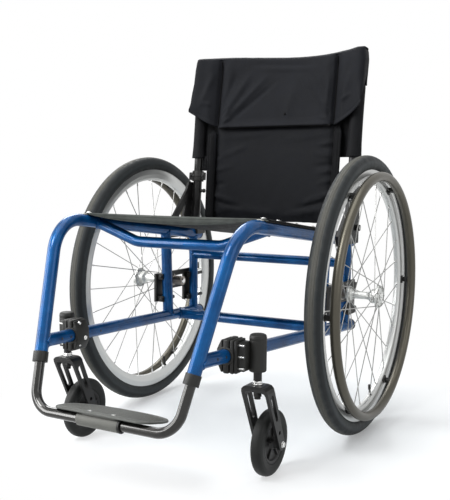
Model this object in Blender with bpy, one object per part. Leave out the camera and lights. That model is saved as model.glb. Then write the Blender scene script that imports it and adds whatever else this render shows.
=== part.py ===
"""Manual wheelchair: rigid tubular frame, spoked quick-release rear wheels, two front casters,
fold-down sling back, sling seat and a tubular footrest.

Lengths are in metres. The chair faces -Y, +Z is up and the sitter's left hand is at +X. Shapes are
modelled for the left side in chair coordinates, whose origin lies on the floor under the rear axle,
and mirrored for the right side. The whole chair is then placed so that its box is centred on the origin.
"""

import math

import bmesh
import bpy
from mathutils import Matrix, Vector

X, Y, Z = Vector((1, 0, 0)), Vector((0, 1, 0)), Vector((0, 0, 1))

# Fits
GAP = 0.0003  # left between pieces that touch
RUNNING_GAP = 0.0004  # round a shaft that turns or slides

# Rear wheels
TYRE_RADIUS = 0.305
TYRE_SECTION = 0.036
TYRE_SEAT_DEPTH = 0.013  # from the middle of the tyre's section inwards to the rim
WHEEL_X = 0.2829  # rim plane
RIM_WIDTH = 0.024
RIM_DEPTH = 0.021
RIM_SIDE = 0.011  # depth of its flat sides
PUSH_RIM_RADIUS = 0.2598
PUSH_RIM_TUBE = 0.020
PUSH_RIM_OFFSET = 0.0325  # outboard of the rim plane
PUSH_RIM_TABS = 6
TAB_SIZE = 0.009
TAB_PHASE = 2.0  # degrees from straight back to the first tab
WHEEL_SEGMENTS = 44

# Hub and spokes
HUB_INNER_END = 0.036  # inboard of the rim plane
HUB_OUTER_END = 0.038  # outboard of the rim plane
HUB_SHELL_RADIUS = 0.0082
HUB_STEP_RADIUS = 0.0155
HUB_STEP_LENGTH = 0.015
OUTER_FLANGE_RADIUS = 0.0245
INNER_FLANGE_RADIUS = 0.0185
FLANGE_WIDTH = 0.007
SPOKE_RADIUS = 0.001
SPOKES_PER_FLANGE = 14
SPOKE_CROSSINGS = 3
SPOKE_STAGGER = 0.0022  # half the sideways step between crossing spokes
SPOKE_HOLE_INSET = 0.003

# Quick-release axle
AXLE_RADIUS = 0.00635
AXLE_INNER_X = 0.1835
AXLE_HEAD_RADIUS = 0.0078
AXLE_HEAD_LENGTH = 0.0025
BUTTON_RADIUS = 0.003
BUTTON_DEPTH = 0.012
BUTTON_TRAVEL = 0.004
BUTTON_PROUD = 0.002
RECEIVER_RADIUS = 0.011
RECEIVER_INNER_X = 0.1855
RECEIVER_FLANGE_RADIUS = 0.0145
RECEIVER_FLANGE_LENGTH = 0.006

# Frame tubes
FRAME_TUBE = 0.0254
REAR_TUBE = 0.0222
TUBE_WALL = 0.0016
TUBE_SIDES = 12

# Seat rail and down tube of the bent main tube, on their centre lines
SEAT_CORNER = Vector((0.2035, -0.4387, 0.4785))
SEAT_REAR = Vector((0.2095, 0.1120, 0.4150))
LEG_ANGLE = math.radians(20.3)  # down tube forwards
LEG_TAPER = math.radians(7.8)  # down tube inwards
FRONT_BEND_RADIUS = 0.088
DOWN_TUBE_END_Z = 0.2137

# Lower side tube, uprights and cross tubes
LOWER_TUBE_FRONT_Z = 0.2475
LOWER_TUBE_REAR = Vector((0.2105, 0.1200, 0.2145))
FRONT_UPRIGHT_Y = -0.045
REAR_UPRIGHT_Y = 0.087
REAR_UPPER_CROSS_Z = 0.364
REAR_LOWER_CROSS_Y = 0.010
FRONT_CROSS_Y = -0.315
FRONT_CROSS_Z = 0.427  # of its level middle
FRONT_CROSS_LEVEL = 0.100  # half length of its level middle
FRONT_CROSS_BEND_RADIUS = 0.060

# Footrest
FOOTREST_TUBE = 0.01905
FOOTREST_RUN_Z = 0.129
FOOTREST_BEND_RADIUS = 0.045
FOOTREST_LEG_TOP_Z = 0.262
COLLAR_WALL = 0.0012
COLLAR_LENGTH = 0.0165
COLLAR_LIP = 0.003
CLAMP_SLEEVE_RADIUS = 0.0122
CLAMP_SLEEVE_HALF_LENGTH = 0.0475
CLAMP_RING_RADIUS = 0.0130
CLAMP_RING_WIDTH = 0.004
PLATE_TILT = math.radians(11.3)  # toes up
PLATE_RISE = 0.0118  # underside above the middle of the footrest tube
PLATE_THICKNESS = 0.0045
PLATE_FRONT_HALF_WIDTH = 0.088
PLATE_HALF_WIDTH = 0.110
PLATE_FRONT = 0.0153  # ahead of the footrest tube
PLATE_REAR = 0.0887  # behind the footrest tube

# Casters
CASTER_X = 0.2215
CASTER_Y = -0.395
CASTER_RADIUS = 0.0635
CASTER_TYRE_WIDTH = 0.0245
CASTER_HUB_RADIUS = 0.0395
CASTER_BOSS_RADIUS = 0.0085
CASTER_WEB = 0.014
CASTER_TRAIL = 0.053
HOUSING_RADIUS = 0.016
HOUSING_BOTTOM_Z = 0.212
HOUSING_TOP_Z = 0.281
HOUSING_CAP_ROUND = 0.006
STEM_RADIUS = 0.00775
STEM_TOP_Z = 0.268
STEM_BOLT_RADIUS = 0.006
STEM_NUT_RADIUS = 0.0085
STEM_NUT_LENGTH = 0.010
SPACER_RADIUS = 0.0095
SPACER_TOP_Z = 0.1948
FORK_TOP_Z = 0.187
FORK_CROWN = 0.0115
FORK_WIDTH = 0.054
FORK_WALL = 0.006
FORK_CROWN_LENGTH = 0.032
FORK_SHOULDER_ROUND = 0.013
FORK_END_RADIUS = 0.0115
FORK_SLOT_WIDTH = 0.011
CASTER_BOLT_RADIUS = 0.004
CASTER_BOLT_HEAD_RADIUS = 0.006
CASTER_BOLT_HEAD = 0.004
SPARE_HOLE_RISE = 0.0285  # second axle hole above the axle
CASTER_CLAMP_LENGTH = 0.040
CASTER_CLAMP_HEIGHT = 0.062
CASTER_CLAMP_WALL = 0.006
CASTER_CLAMP_Y = -0.4185

# Axle plate, outboard of the uprights
AXLE_PLATE_X = 0.2215
AXLE_PLATE_THICKNESS = 0.006
AXLE_PLATE_TOP_Z = TYRE_RADIUS + 0.0215
AXLE_PLATE_BAR = 0.0125
AXLE_PLATE_LOWER_BAR_Z = TYRE_RADIUS - 0.022
AXLE_PLATE_FRONT_COLUMN = 0.030
AXLE_PLATE_REAR_COLUMN = 0.036
CLAMP_BLOCK_WIDTH = 0.034
CLAMP_BLOCK_HEIGHT = 0.014
FRONT_CLAMP_HEIGHTS = (TYRE_RADIUS - 0.0405, TYRE_RADIUS + 0.0145)
REAR_CLAMP_HEIGHTS = (TYRE_RADIUS - 0.051, TYRE_RADIUS + 0.006)
CLAMP_BOLT_RADIUS = 0.0045
FRONT_BOLT_LENGTH = 0.020
REAR_BOLT_LENGTH = 0.034

# Back posts and their hinge brackets
POST_RADIUS = 0.011
POST_WALL = 0.0015
PIVOT_Z = 0.447
POST_LEAN = math.radians(6.4)  # backwards
POST_SPLAY = math.radians(0.5)  # outwards
PIVOT_Y = 0.0960
PIVOT_X = 0.2085
POST_END_BELOW_PIVOT = 0.006
PIVOT_PIN_RADIUS = 0.004
BRACKET_THICKNESS = 0.006
BRACKET_CLEARANCE = 0.0016  # between post and outer plate at the pivot
BRACKET_TOP_Z = 0.549
BRACKET_BASE_Z = 0.411
INNER_EAR_THICKNESS = 0.0045
COLLAR_Z = 0.564
POST_COLLAR_RADIUS = 0.0150
POST_COLLAR_HEIGHT = 0.026
LOCK_PIN_Z = 0.527
LOCK_PIN_RADIUS = 0.0028
LOCK_KNOB_RADIUS = 0.0052
LOCK_KNOB_LENGTH = 0.011

# Back upholstery
BACK_TOP_Z = 0.8645
POST_TOP_Z = BACK_TOP_Z - 0.0325
BACK_HOLLOW = 0.037  # middle of the cloth behind the posts
TOP_SAG = 0.007  # middle of the top edge below its ends
SLEEVE_WALL = 0.0045
SLEEVE_ABOVE_COLLAR = 0.033
SLEEVE_BOTTOM_Z = COLLAR_Z + POST_COLLAR_HEIGHT / 2 + SLEEVE_ABOVE_COLLAR
CLOTH_TOP_Z = BACK_TOP_Z - 0.008
SLEEVE_TOP_Z = BACK_TOP_Z - 0.0995
CLOTH_THICKNESS = 0.004
PAD_HALF_WIDTH = 0.180
PAD_BOTTOM_Z = 0.446
PAD_TOP_Z = BACK_TOP_Z - 0.009
PAD_THICKNESS = 0.0155
PAD_CROWN = 0.0035
FLAP_THICKNESS = 0.005
FLAP_SIDE_WALL = 0.0026
FLAP_EDGE_Z = BACK_TOP_Z - 0.175
FLAP_EDGE_BOW = 0.002  # its middle above the seams
FLAP_CORNER_RISE = 0.50  # slope of the lower edge outside the middle section
FLAP_SECTION_X = 0.158  # where the middle section is sewn to the side ones
FLAP_REAR_Z = BACK_TOP_Z - 0.0895
FLAP_POCKET_Z = BACK_TOP_Z - 0.1295  # its ends begin to curl here
FLAP_CURL_X = 0.195  # its ends curl round the posts from here outwards
FLAP_POST_DEPTH = 0.019  # of its rear face behind the posts' middle
FLAP_CLEARANCE = 0.0013
FLAP_DROP = BACK_TOP_Z - FLAP_REAR_Z
FLAP_WIDTHS = ((2.173, 0.2265), (1.615, 0.2285), (1.0, 0.2300), (0.721, 0.2290), (0.330, 0.2268),
               (0.140, 0.2245), (0.034, 0.2215), (0.0, 0.2180))  # depth as a share of the drop, half width

# Seat sling
SLING_FRONT_Y = -0.352
SLING_REAR_Y = 0.058
SLING_SAG = 0.012
SLING_FRONT_SAG = 0.001
SLING_THICKNESS = 0.003
SLING_WRAP = 0.0095  # reach down over the outer side of each rail
SLING_HEM_DROP = 0.014

# The chair's front is the footrest clamp and its back is the tyre.
ORIGIN_SHIFT = 0.13822


def at(line, axis, value):
    """Point of a line whose x, y or z has the given value."""
    start, end = line
    share = (value - start[axis]) / (end[axis] - start[axis])
    return start.lerp(end, share)


def direction(line):
    return (line[1] - line[0]).normalized()


def mirrored(point):
    return Vector((-point.x, point.y, point.z))


# Centre lines of the left side
DOWN_TUBE_STEP = Vector((math.tan(LEG_TAPER), math.tan(LEG_ANGLE), 1))
DOWN_TUBE = (SEAT_CORNER - DOWN_TUBE_STEP, SEAT_CORNER)
RAIL = (SEAT_CORNER, SEAT_REAR)
LOWER_TUBE = (at(DOWN_TUBE, 2, LOWER_TUBE_FRONT_Z), LOWER_TUBE_REAR)
FRONT_UPRIGHT = (at(LOWER_TUBE, 1, FRONT_UPRIGHT_Y), at(RAIL, 1, FRONT_UPRIGHT_Y))
REAR_UPRIGHT = (at(LOWER_TUBE, 1, REAR_UPRIGHT_Y), at(RAIL, 1, REAR_UPRIGHT_Y))
PIVOT = Vector((PIVOT_X, PIVOT_Y, PIVOT_Z))
POST = (PIVOT, PIVOT + Vector((math.tan(POST_SPLAY), math.tan(POST_LEAN), 1)))
AXLE = Vector((0, 0, TYRE_RADIUS))
CASTER_STEM = Vector((CASTER_X, CASTER_Y, 0))
CASTER_AXLE = Vector((CASTER_X, CASTER_Y + CASTER_TRAIL, CASTER_RADIUS))
FOOTREST_CORNER = at(DOWN_TUBE, 2, FOOTREST_RUN_Z)
FOOTREST_AXIS = Vector((0, FOOTREST_CORNER.y, FOOTREST_RUN_Z))

FINISHES = {
    "blue_paint": ((0.010, 0.070, 0.330), 0.22, 0.55),
    "black_paint": ((0.012, 0.012, 0.013), 0.35, 0.0),
    "black_plastic": ((0.015, 0.015, 0.016), 0.50, 0.0),
    "black_cloth": ((0.010, 0.010, 0.012), 0.85, 0.0),
    "grey_rubber": ((0.045, 0.047, 0.045), 0.70, 0.0),
    "dark_tube": ((0.090, 0.080, 0.068), 0.35, 0.60),
    "silver": ((0.620, 0.630, 0.620), 0.28, 0.95),
    "grey_paint": ((0.180, 0.180, 0.165), 0.55, 0.0),
}


def clear_scene():
    for obj in list(bpy.data.objects):
        bpy.data.objects.remove(obj, do_unlink=True)


def finish_material(name, finish):
    """Principled material of one sub-part."""
    colour, roughness, metallic = FINISHES[finish]
    material = bpy.data.materials.new(name)
    material.use_nodes = True
    shader = material.node_tree.nodes["Principled BSDF"]
    shader.inputs["Base Color"].default_value = (*colour, 1)
    shader.inputs["Roughness"].default_value = roughness
    shader.inputs["Metallic"].default_value = metallic
    material.diffuse_color = (*colour, 1)
    return material


def place(name, shape, finish, origin=Vector((0, 0, 0))):
    """Named object from a shape in chair coordinates, with its own origin there."""
    bmesh.ops.translate(shape, verts=shape.verts, vec=-origin)
    bmesh.ops.recalc_face_normals(shape, faces=shape.faces)
    mesh = bpy.data.meshes.new(name)
    shape.to_mesh(mesh)
    shape.free()
    mesh.shade_smooth()
    mesh.set_sharp_from_angle(angle=math.radians(40))
    mesh.materials.append(finish_material(name, finish))
    obj = bpy.data.objects.new(name, mesh)
    bpy.context.scene.collection.objects.link(obj)
    obj.parent = bpy.data.objects["wheelchair"]
    obj.location = origin
    return obj


def place_pair(name, build, finish, origin=Vector((0, 0, 0))):
    """The piece on the sitter's left, and its mirror image on the right."""
    place(name + "_left", build(), finish, origin)
    shape = build()
    bmesh.ops.scale(shape, verts=shape.verts, vec=(-1, 1, 1))
    bmesh.ops.reverse_faces(shape, faces=shape.faces)
    place(name + "_right", shape, finish, mirrored(origin))


def along(origin, axis, towards=Y):
    """Matrix whose Z runs along an axis and whose X leans towards a direction."""
    z = axis.normalized()
    x = (towards - towards.dot(z) * z).normalized()
    rotation = Matrix((x, z.cross(x), z)).transposed()
    return Matrix.Translation(origin) @ rotation.to_4x4()


def outboard(x=0.0, centre=AXLE):
    """Matrix whose Z runs outboard along +X from a wheel's centre."""
    return along(Vector((x, centre.y, centre.z)), X, Y)


def lathe(profile, segments, matrix, closed=False, flats=False):
    """Turn a profile of (radius, height) points, from bottom to top. A closed profile makes a ring.
    With flats, the middles of the facets lie on the radius instead of their corners."""
    stretch = 1 / math.cos(math.pi / segments) if flats else 1
    shape = bmesh.new()
    rings = []
    for radius, height in profile:
        ring = []
        for step in range(segments):
            angle = (step + 0.5) * 2 * math.pi / segments
            reach = radius * stretch
            ring.append(shape.verts.new((reach * math.cos(angle), reach * math.sin(angle), height)))
        rings.append(ring)
    following = rings[1:] + rings[:1] if closed else rings[1:]
    for low, high in zip(rings, following):
        for step in range(segments):
            after = (step + 1) % segments
            shape.faces.new((low[step], low[after], high[after], high[step]))
    if not closed:
        shape.faces.new(rings[0][::-1])
        shape.faces.new(rings[-1])
    bmesh.ops.transform(shape, matrix=matrix, verts=shape.verts)
    bmesh.ops.recalc_face_normals(shape, faces=shape.faces)
    return shape


def sweep(points, radius, bore=0.0, sides=TUBE_SIDES):
    """Round tube along a centre line, hollow from end to end where a bore is given."""
    shape = bmesh.new()
    reference = Z if abs(direction((points[0], points[1])).z) < 0.9 else Y
    outer, inner = [], []
    for index, point in enumerate(points):
        before = points[max(index - 1, 0)]
        after = points[min(index + 1, len(points) - 1)]
        matrix = along(point, after - before, reference)
        reference = matrix.to_3x3().col[0]
        for rings, reach in ((outer, radius), (inner, bore)):
            ring = []
            if reach:
                for step in range(sides):
                    angle = step * 2 * math.pi / sides
                    corner = Vector((reach * math.cos(angle), reach * math.sin(angle), 0))
                    ring.append(shape.verts.new(matrix @ corner))
            rings.append(ring)
    for rings in (outer, inner):
        for low, high in zip(rings, rings[1:]):
            for step in range(len(low)):
                after = (step + 1) % sides
                shape.faces.new((low[step], low[after], high[after], high[step]))
    for end in (0, -1):
        if bore:
            for step in range(sides):
                after = (step + 1) % sides
                shape.faces.new((outer[end][step], outer[end][after], inner[end][after], inner[end][step]))
        else:
            shape.faces.new(outer[end])
    bmesh.ops.recalc_face_normals(shape, faces=shape.faces)
    return shape


def rod(start, end, radius, sides=TUBE_SIDES, flats=False):
    """Solid round bar between two points."""
    reach = radius / math.cos(math.pi / sides) if flats else radius
    return sweep([start, end], reach, sides=sides)


def bent_line(corners, radius, steps):
    """Centre line through corner points, with an arc of the bend radius at each inner corner."""
    points = [corners[0]]
    for before, corner, after in zip(corners, corners[1:], corners[2:]):
        back = (before - corner).normalized()
        onward = (after - corner).normalized()
        half = back.angle(onward) / 2
        setback = radius / math.tan(half)
        centre = corner + (back + onward).normalized() * radius / math.sin(half)
        start = (corner + back * setback - centre).normalized()
        end = (corner + onward * setback - centre).normalized()
        for step in range(steps + 1):
            points.append(centre + start.slerp(end, step / steps) * radius)
    points.append(corners[-1])
    return points


def arc(centre, radius, start, end, steps):
    """Points of an arc in a plane, angles in degrees."""
    points = []
    for step in range(steps + 1):
        angle = math.radians(start + (end - start) * step / steps)
        points.append((centre[0] + radius * math.cos(angle), centre[1] + radius * math.sin(angle)))
    return points


def plate(outline, matrix, low, high):
    """Flat outline in a matrix's X and Y, extruded along its Z from low to high."""
    shape = bmesh.new()
    bottom = shape.faces.new([shape.verts.new((x, y, low)) for x, y in outline])
    made = bmesh.ops.extrude_face_region(shape, geom=[bottom])
    top = [item for item in made["geom"] if isinstance(item, bmesh.types.BMVert)]
    bmesh.ops.translate(shape, verts=top, vec=(0, 0, high - low))
    bmesh.ops.transform(shape, matrix=matrix, verts=shape.verts)
    bmesh.ops.recalc_face_normals(shape, faces=shape.faces)
    return shape


def block(low, high):
    """Box between two corners."""
    outline = [(low[0], low[1]), (high[0], low[1]), (high[0], high[1]), (low[0], high[1])]
    return plate(outline, Matrix.Identity(4), low[2], high[2])


def combine(base, others, operation):
    """Boolean of closed shapes: DIFFERENCE cuts, UNION joins and INTERSECT keeps what is shared."""
    scene = bpy.context.scene.collection
    made = []
    for shape in [base, *others]:
        mesh = bpy.data.meshes.new("working")
        shape.to_mesh(mesh)
        shape.free()
        obj = bpy.data.objects.new("working", mesh)
        scene.objects.link(obj)
        made.append(obj)
    target = made[0]
    for other in made[1:]:
        modifier = target.modifiers.new("combine", "BOOLEAN")
        modifier.operation = operation
        modifier.solver = "EXACT"
        modifier.object = other
    result = bmesh.new()
    result.from_object(target, bpy.context.evaluated_depsgraph_get())
    for obj in made:
        mesh = obj.data
        bpy.data.objects.remove(obj, do_unlink=True)
        bpy.data.meshes.remove(mesh)
    return result


def cut(base, *cutters):
    return combine(base, cutters, "DIFFERENCE")


def join(base, *others):
    return combine(base, others, "UNION")


# Frame tubes

def hollow_tube(start, end, diameter):
    return sweep([start, end], diameter / 2, diameter / 2 - TUBE_WALL)


def coping(line, diameter=FRAME_TUBE):
    """Cutter that fits a tube's end to the tube along a line, with a gap."""
    reach = direction(line) * 0.08
    return rod(line[0] - reach, line[1] + reach, diameter / 2 + GAP, flats=True)


def main_tube():
    corners = [at(DOWN_TUBE, 2, DOWN_TUBE_END_Z), SEAT_CORNER, SEAT_REAR]
    path = bent_line(corners, FRONT_BEND_RADIUS, 7)
    return sweep(path, FRAME_TUBE / 2, FRAME_TUBE / 2 - TUBE_WALL)


def lower_side_tube():
    rear_cap = 0.003
    tube = rod(*LOWER_TUBE, FRAME_TUBE / 2)
    onward = direction(LOWER_TUBE)
    inside = rod(LOWER_TUBE[0] - onward * 0.02, LOWER_TUBE[1] - onward * rear_cap, FRAME_TUBE / 2 - TUBE_WALL)
    return cut(tube, inside, coping(DOWN_TUBE))


def front_upright():
    tube = hollow_tube(*FRONT_UPRIGHT, FRAME_TUBE)
    return cut(tube, coping(RAIL), coping(LOWER_TUBE))


def rear_upright():
    tube = hollow_tube(*REAR_UPRIGHT, REAR_TUBE)
    return cut(tube, coping(RAIL), coping(LOWER_TUBE))


def front_cross_tube():
    rail = at(RAIL, 1, FRONT_CROSS_Y)
    bend = Vector((FRONT_CROSS_LEVEL, FRONT_CROSS_Y, FRONT_CROSS_Z))
    path = bent_line([mirrored(rail), mirrored(bend), bend, rail], FRONT_CROSS_BEND_RADIUS, 3)
    tube = sweep(path, REAR_TUBE / 2, REAR_TUBE / 2 - TUBE_WALL)
    other_rail = tuple(mirrored(point) for point in RAIL)
    return cut(tube, coping(RAIL), coping(other_rail))


def rear_upper_cross_tube():
    end = at(REAR_UPRIGHT, 2, REAR_UPPER_CROSS_Z)
    tube = hollow_tube(mirrored(end), end, REAR_TUBE)
    other_upright = tuple(mirrored(point) for point in REAR_UPRIGHT)
    return cut(tube, coping(REAR_UPRIGHT, REAR_TUBE), coping(other_upright, REAR_TUBE))


def rear_lower_cross_tube():
    end = at(LOWER_TUBE, 1, REAR_LOWER_CROSS_Y)
    tube = hollow_tube(mirrored(end), end, FRAME_TUBE)
    other_tube = tuple(mirrored(point) for point in LOWER_TUBE)
    return cut(tube, coping(LOWER_TUBE), coping(other_tube))


# Footrest

def footrest_collar():
    """Plastic collar over the lower end of the down tube, whose lip holds the footrest tube's leg."""
    bore = FOOTREST_TUBE / 2 + GAP
    inner = FRAME_TUBE / 2 + GAP
    outer = inner + COLLAR_WALL
    profile = [(bore, -COLLAR_LIP - GAP), (outer, -COLLAR_LIP - GAP), (outer, COLLAR_LENGTH),
               (inner, COLLAR_LENGTH), (inner, -GAP), (bore, -GAP)]
    matrix = along(at(DOWN_TUBE, 2, DOWN_TUBE_END_Z), direction(DOWN_TUBE))
    return lathe(profile, TUBE_SIDES + 2, matrix, closed=True, flats=True)


def footrest_tube():
    """U tube whose legs stand in the down tubes."""
    leg_top = at(DOWN_TUBE, 2, FOOTREST_LEG_TOP_Z)
    corners = [mirrored(leg_top), mirrored(FOOTREST_CORNER), FOOTREST_CORNER, leg_top]
    path = bent_line(corners, FOOTREST_BEND_RADIUS, 5)
    return sweep(path, FOOTREST_TUBE / 2, FOOTREST_TUBE / 2 - TUBE_WALL, sides=12)


def tilted_plate_matrix():
    """Matrix of the footplate: X across, Y rearwards along the plate, Z square to it."""
    return Matrix.Translation(FOOTREST_AXIS) @ Matrix.Rotation(-PLATE_TILT, 4, "X")


def footplate():
    half = [(PLATE_FRONT_HALF_WIDTH, -PLATE_FRONT), (PLATE_HALF_WIDTH - 0.008, -0.003),
            (PLATE_HALF_WIDTH - 0.001, 0.022), (PLATE_HALF_WIDTH, 0.036), (PLATE_HALF_WIDTH - 0.004, 0.054),
            (PLATE_HALF_WIDTH - 0.020, PLATE_REAR - 0.017), (PLATE_HALF_WIDTH * 0.55, PLATE_REAR - 0.005),
            (PLATE_HALF_WIDTH * 0.25, PLATE_REAR)]
    outline = half + [(-x, y) for x, y in reversed(half)]
    return plate(outline, tilted_plate_matrix(), PLATE_RISE, PLATE_RISE + PLATE_THICKNESS)


def footplate_clamp():
    """Sleeve round the footrest tube, cut flat under the plate."""
    bore = FOOTREST_TUBE / 2 + RUNNING_GAP
    end = CLAMP_SLEEVE_HALF_LENGTH
    ring = end - CLAMP_RING_WIDTH
    half = [(CLAMP_SLEEVE_RADIUS, ring), (CLAMP_RING_RADIUS, ring), (CLAMP_RING_RADIUS, end), (bore, end)]
    profile = [(radius, -height) for radius, height in reversed(half)] + half
    sleeve = lathe(profile, 16, outboard(0, FOOTREST_AXIS), closed=True, flats=True)
    above = plate([(-0.1, -0.03), (0.1, -0.03), (0.1, 0.03), (-0.1, 0.03)], tilted_plate_matrix(),
                  PLATE_RISE - GAP, PLATE_RISE + 0.02)
    return cut(sleeve, above)


# Casters

def caster_clamp():
    """Cast clamp round the lower side tube, with a seat for the housing."""
    tube = at(LOWER_TUBE, 1, CASTER_CLAMP_Y)
    reach = FRAME_TUBE / 2 + CASTER_CLAMP_WALL
    top = tube.z + CASTER_CLAMP_HEIGHT / 2
    bottom = tube.z - CASTER_CLAMP_HEIGHT / 2
    outer = CASTER_X - HOUSING_RADIUS * 0.6
    shoulder = tube.x + reach * 0.55
    outline = arc((tube.x, tube.z), reach, 75, 285, 8)
    outline += [(shoulder, bottom), (outer, bottom), (outer, top), (shoulder, top)]
    half = CASTER_CLAMP_LENGTH / 2
    body = plate(outline, along(Vector((0, CASTER_CLAMP_Y, 0)), -Y, X), -half, half)
    seat = rod(CASTER_STEM, CASTER_STEM + Z * 0.4, HOUSING_RADIUS + GAP, sides=16, flats=True)
    return cut(body, coping(LOWER_TUBE), seat)


def caster_housing():
    """Cup with a rounded cap; the stem runs up into its bore."""
    bore = STEM_RADIUS + RUNNING_GAP
    cap = HOUSING_CAP_ROUND
    profile = [(bore, STEM_TOP_Z + 0.001), (bore, HOUSING_BOTTOM_Z), (HOUSING_RADIUS, HOUSING_BOTTOM_Z),
               (HOUSING_RADIUS, HOUSING_TOP_Z - cap), (HOUSING_RADIUS - 0.3 * cap, HOUSING_TOP_Z - 0.3 * cap),
               (HOUSING_RADIUS - cap, HOUSING_TOP_Z)]
    return lathe(profile, 16, along(CASTER_STEM, Z))


def caster_stem():
    """Stem with its bolt through the crown and the nut under it."""
    crown_bottom = FORK_TOP_Z - FORK_CROWN
    nut_top = crown_bottom - GAP
    nut_bottom = nut_top - STEM_NUT_LENGTH
    profile = [(STEM_BOLT_RADIUS - 0.001, nut_bottom - 0.004), (STEM_BOLT_RADIUS, nut_bottom - 0.002),
               (STEM_BOLT_RADIUS, nut_bottom), (STEM_NUT_RADIUS, nut_bottom), (STEM_NUT_RADIUS, nut_top),
               (STEM_BOLT_RADIUS, nut_top), (STEM_BOLT_RADIUS, SPACER_TOP_Z + GAP),
               (STEM_RADIUS, SPACER_TOP_Z + GAP), (STEM_RADIUS, STEM_TOP_Z)]
    return lathe(profile, 12, along(CASTER_STEM, Z))


def caster_spacer():
    bore = STEM_BOLT_RADIUS + GAP
    profile = [(bore, FORK_TOP_Z + GAP), (SPACER_RADIUS, FORK_TOP_Z + GAP), (SPACER_RADIUS, SPACER_TOP_Z),
               (bore, SPACER_TOP_Z)]
    return lathe(profile, 12, along(CASTER_STEM, Z), closed=True, flats=True)


def caster_fork():
    """Fork raked back from its crown, with a slot in each leg."""
    half_crown = FORK_CROWN_LENGTH / 2
    axle = (CASTER_AXLE.y, CASTER_AXLE.z)
    side = [(CASTER_Y - half_crown, FORK_TOP_Z), (CASTER_Y - half_crown, FORK_TOP_Z - 0.006)]
    side += arc(axle, FORK_END_RADIUS, 202, 382, 6)
    side += [(CASTER_Y + half_crown, FORK_TOP_Z - 0.012), (CASTER_Y + half_crown, FORK_TOP_Z)]
    legs = plate(side, along(Vector((CASTER_X, 0, 0)), X, Y), -FORK_WIDTH, FORK_WIDTH)
    outer, inner = FORK_WIDTH / 2, FORK_WIDTH / 2 - FORK_WALL
    crown_bottom = FORK_TOP_Z - FORK_CROWN
    outer_round, inner_round = FORK_SHOULDER_ROUND, FORK_SHOULDER_ROUND - FORK_WALL
    outer_z, inner_z = FORK_TOP_Z - outer_round, crown_bottom - inner_round
    front = [(-outer, 0.0)]
    front += arc((-outer + outer_round, outer_z), outer_round, 180, 90, 3)
    front += arc((outer - outer_round, outer_z), outer_round, 90, 0, 3)
    front += [(outer, 0.0), (inner, 0.0)]
    front += arc((inner - inner_round, inner_z), inner_round, 0, 90, 2)
    front += arc((-inner + inner_round, inner_z), inner_round, 90, 180, 2)
    front += [(-inner, 0.0)]
    arch = plate(front, along(Vector((CASTER_X, CASTER_Y, 0)), -Y, X), -0.2, 0.2)
    fork = combine(legs, [arch], "INTERSECT")
    slot_top = Vector((CASTER_Y + 0.007, crown_bottom - 0.012))
    slot_bottom = slot_top.lerp(Vector(axle), 0.45)
    lean = math.degrees(math.atan2(slot_bottom.y - slot_top.y, slot_bottom.x - slot_top.x))
    half_slot = FORK_SLOT_WIDTH / 2
    outline = arc(slot_top, half_slot, lean + 90, lean + 270, 4)
    outline += arc(slot_bottom, half_slot * 0.8, lean - 90, lean + 90, 4)
    slot = plate(outline, along(Vector((CASTER_X, 0, 0)), X, Y), -FORK_WIDTH, FORK_WIDTH)
    stem_hole = rod(CASTER_STEM, CASTER_STEM + Z * 0.3, STEM_BOLT_RADIUS + GAP, sides=12, flats=True)
    reach = X * FORK_WIDTH
    axle_hole = rod(CASTER_AXLE - reach, CASTER_AXLE + reach, CASTER_BOLT_RADIUS + GAP, sides=10, flats=True)
    spare = CASTER_AXLE + Vector((0, -0.47, 1)).normalized() * SPARE_HOLE_RISE
    spare_hole = rod(spare - reach, spare + reach, CASTER_BOLT_RADIUS, sides=10)
    return cut(fork, slot, stem_hole, axle_hole, spare_hole)


def caster_axle_bolt():
    inner = FORK_WIDTH / 2 + GAP
    outer = inner + CASTER_BOLT_HEAD
    head = CASTER_BOLT_HEAD_RADIUS
    half = [(CASTER_BOLT_RADIUS, inner), (head, inner), (head, outer)]
    profile = [(radius, -height) for radius, height in reversed(half)] + half
    return lathe(profile, 10, outboard(CASTER_X, CASTER_AXLE))


def caster_hub():
    bore = CASTER_BOLT_RADIUS + RUNNING_GAP
    boss = FORK_WIDTH / 2 - FORK_WALL - GAP
    rim = CASTER_TYRE_WIDTH / 2 - 0.002
    half = [(bore, boss), (CASTER_BOSS_RADIUS, boss), (CASTER_BOSS_RADIUS + 0.002, 0.012),
            (CASTER_HUB_RADIUS - 0.006, CASTER_WEB / 2), (CASTER_HUB_RADIUS, rim)]
    profile = [(radius, -height) for radius, height in half] + half[::-1]
    return lathe(profile, 16, outboard(CASTER_X, CASTER_AXLE), closed=True)


def caster_tyre():
    width = CASTER_TYRE_WIDTH / 2
    half = [(CASTER_HUB_RADIUS + GAP, width - 0.002), (CASTER_RADIUS - 0.011, width),
            (CASTER_RADIUS - 0.0025, width - 0.004), (CASTER_RADIUS, 0.004)]
    profile = [(radius, -height) for radius, height in half] + half[::-1]
    return lathe(profile, 28, outboard(CASTER_X, CASTER_AXLE), closed=True, flats=True)


# Rear wheels

def rim_seat_radius():
    return TYRE_RADIUS - TYRE_SECTION / 2 - TYRE_SEAT_DEPTH


def rear_tyre():
    """Round tyre, flat where it sits on the rim."""
    half_section = TYRE_SECTION / 2
    centre = TYRE_RADIUS - half_section
    seat_half = math.sqrt(half_section ** 2 - TYRE_SEAT_DEPTH ** 2)
    profile = [(rim_seat_radius(), -seat_half)]
    limit = math.degrees(math.asin(TYRE_SEAT_DEPTH / half_section))
    for step in range(1, 7):
        angle = math.radians(-90 - limit + 45 + step * (180 + 2 * limit - 90) / 7)
        profile.append((centre + half_section * math.cos(angle), half_section * math.sin(angle)))
    profile.append((rim_seat_radius(), seat_half))
    return lathe(profile, WHEEL_SEGMENTS, outboard(WHEEL_X), closed=True, flats=True)


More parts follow.
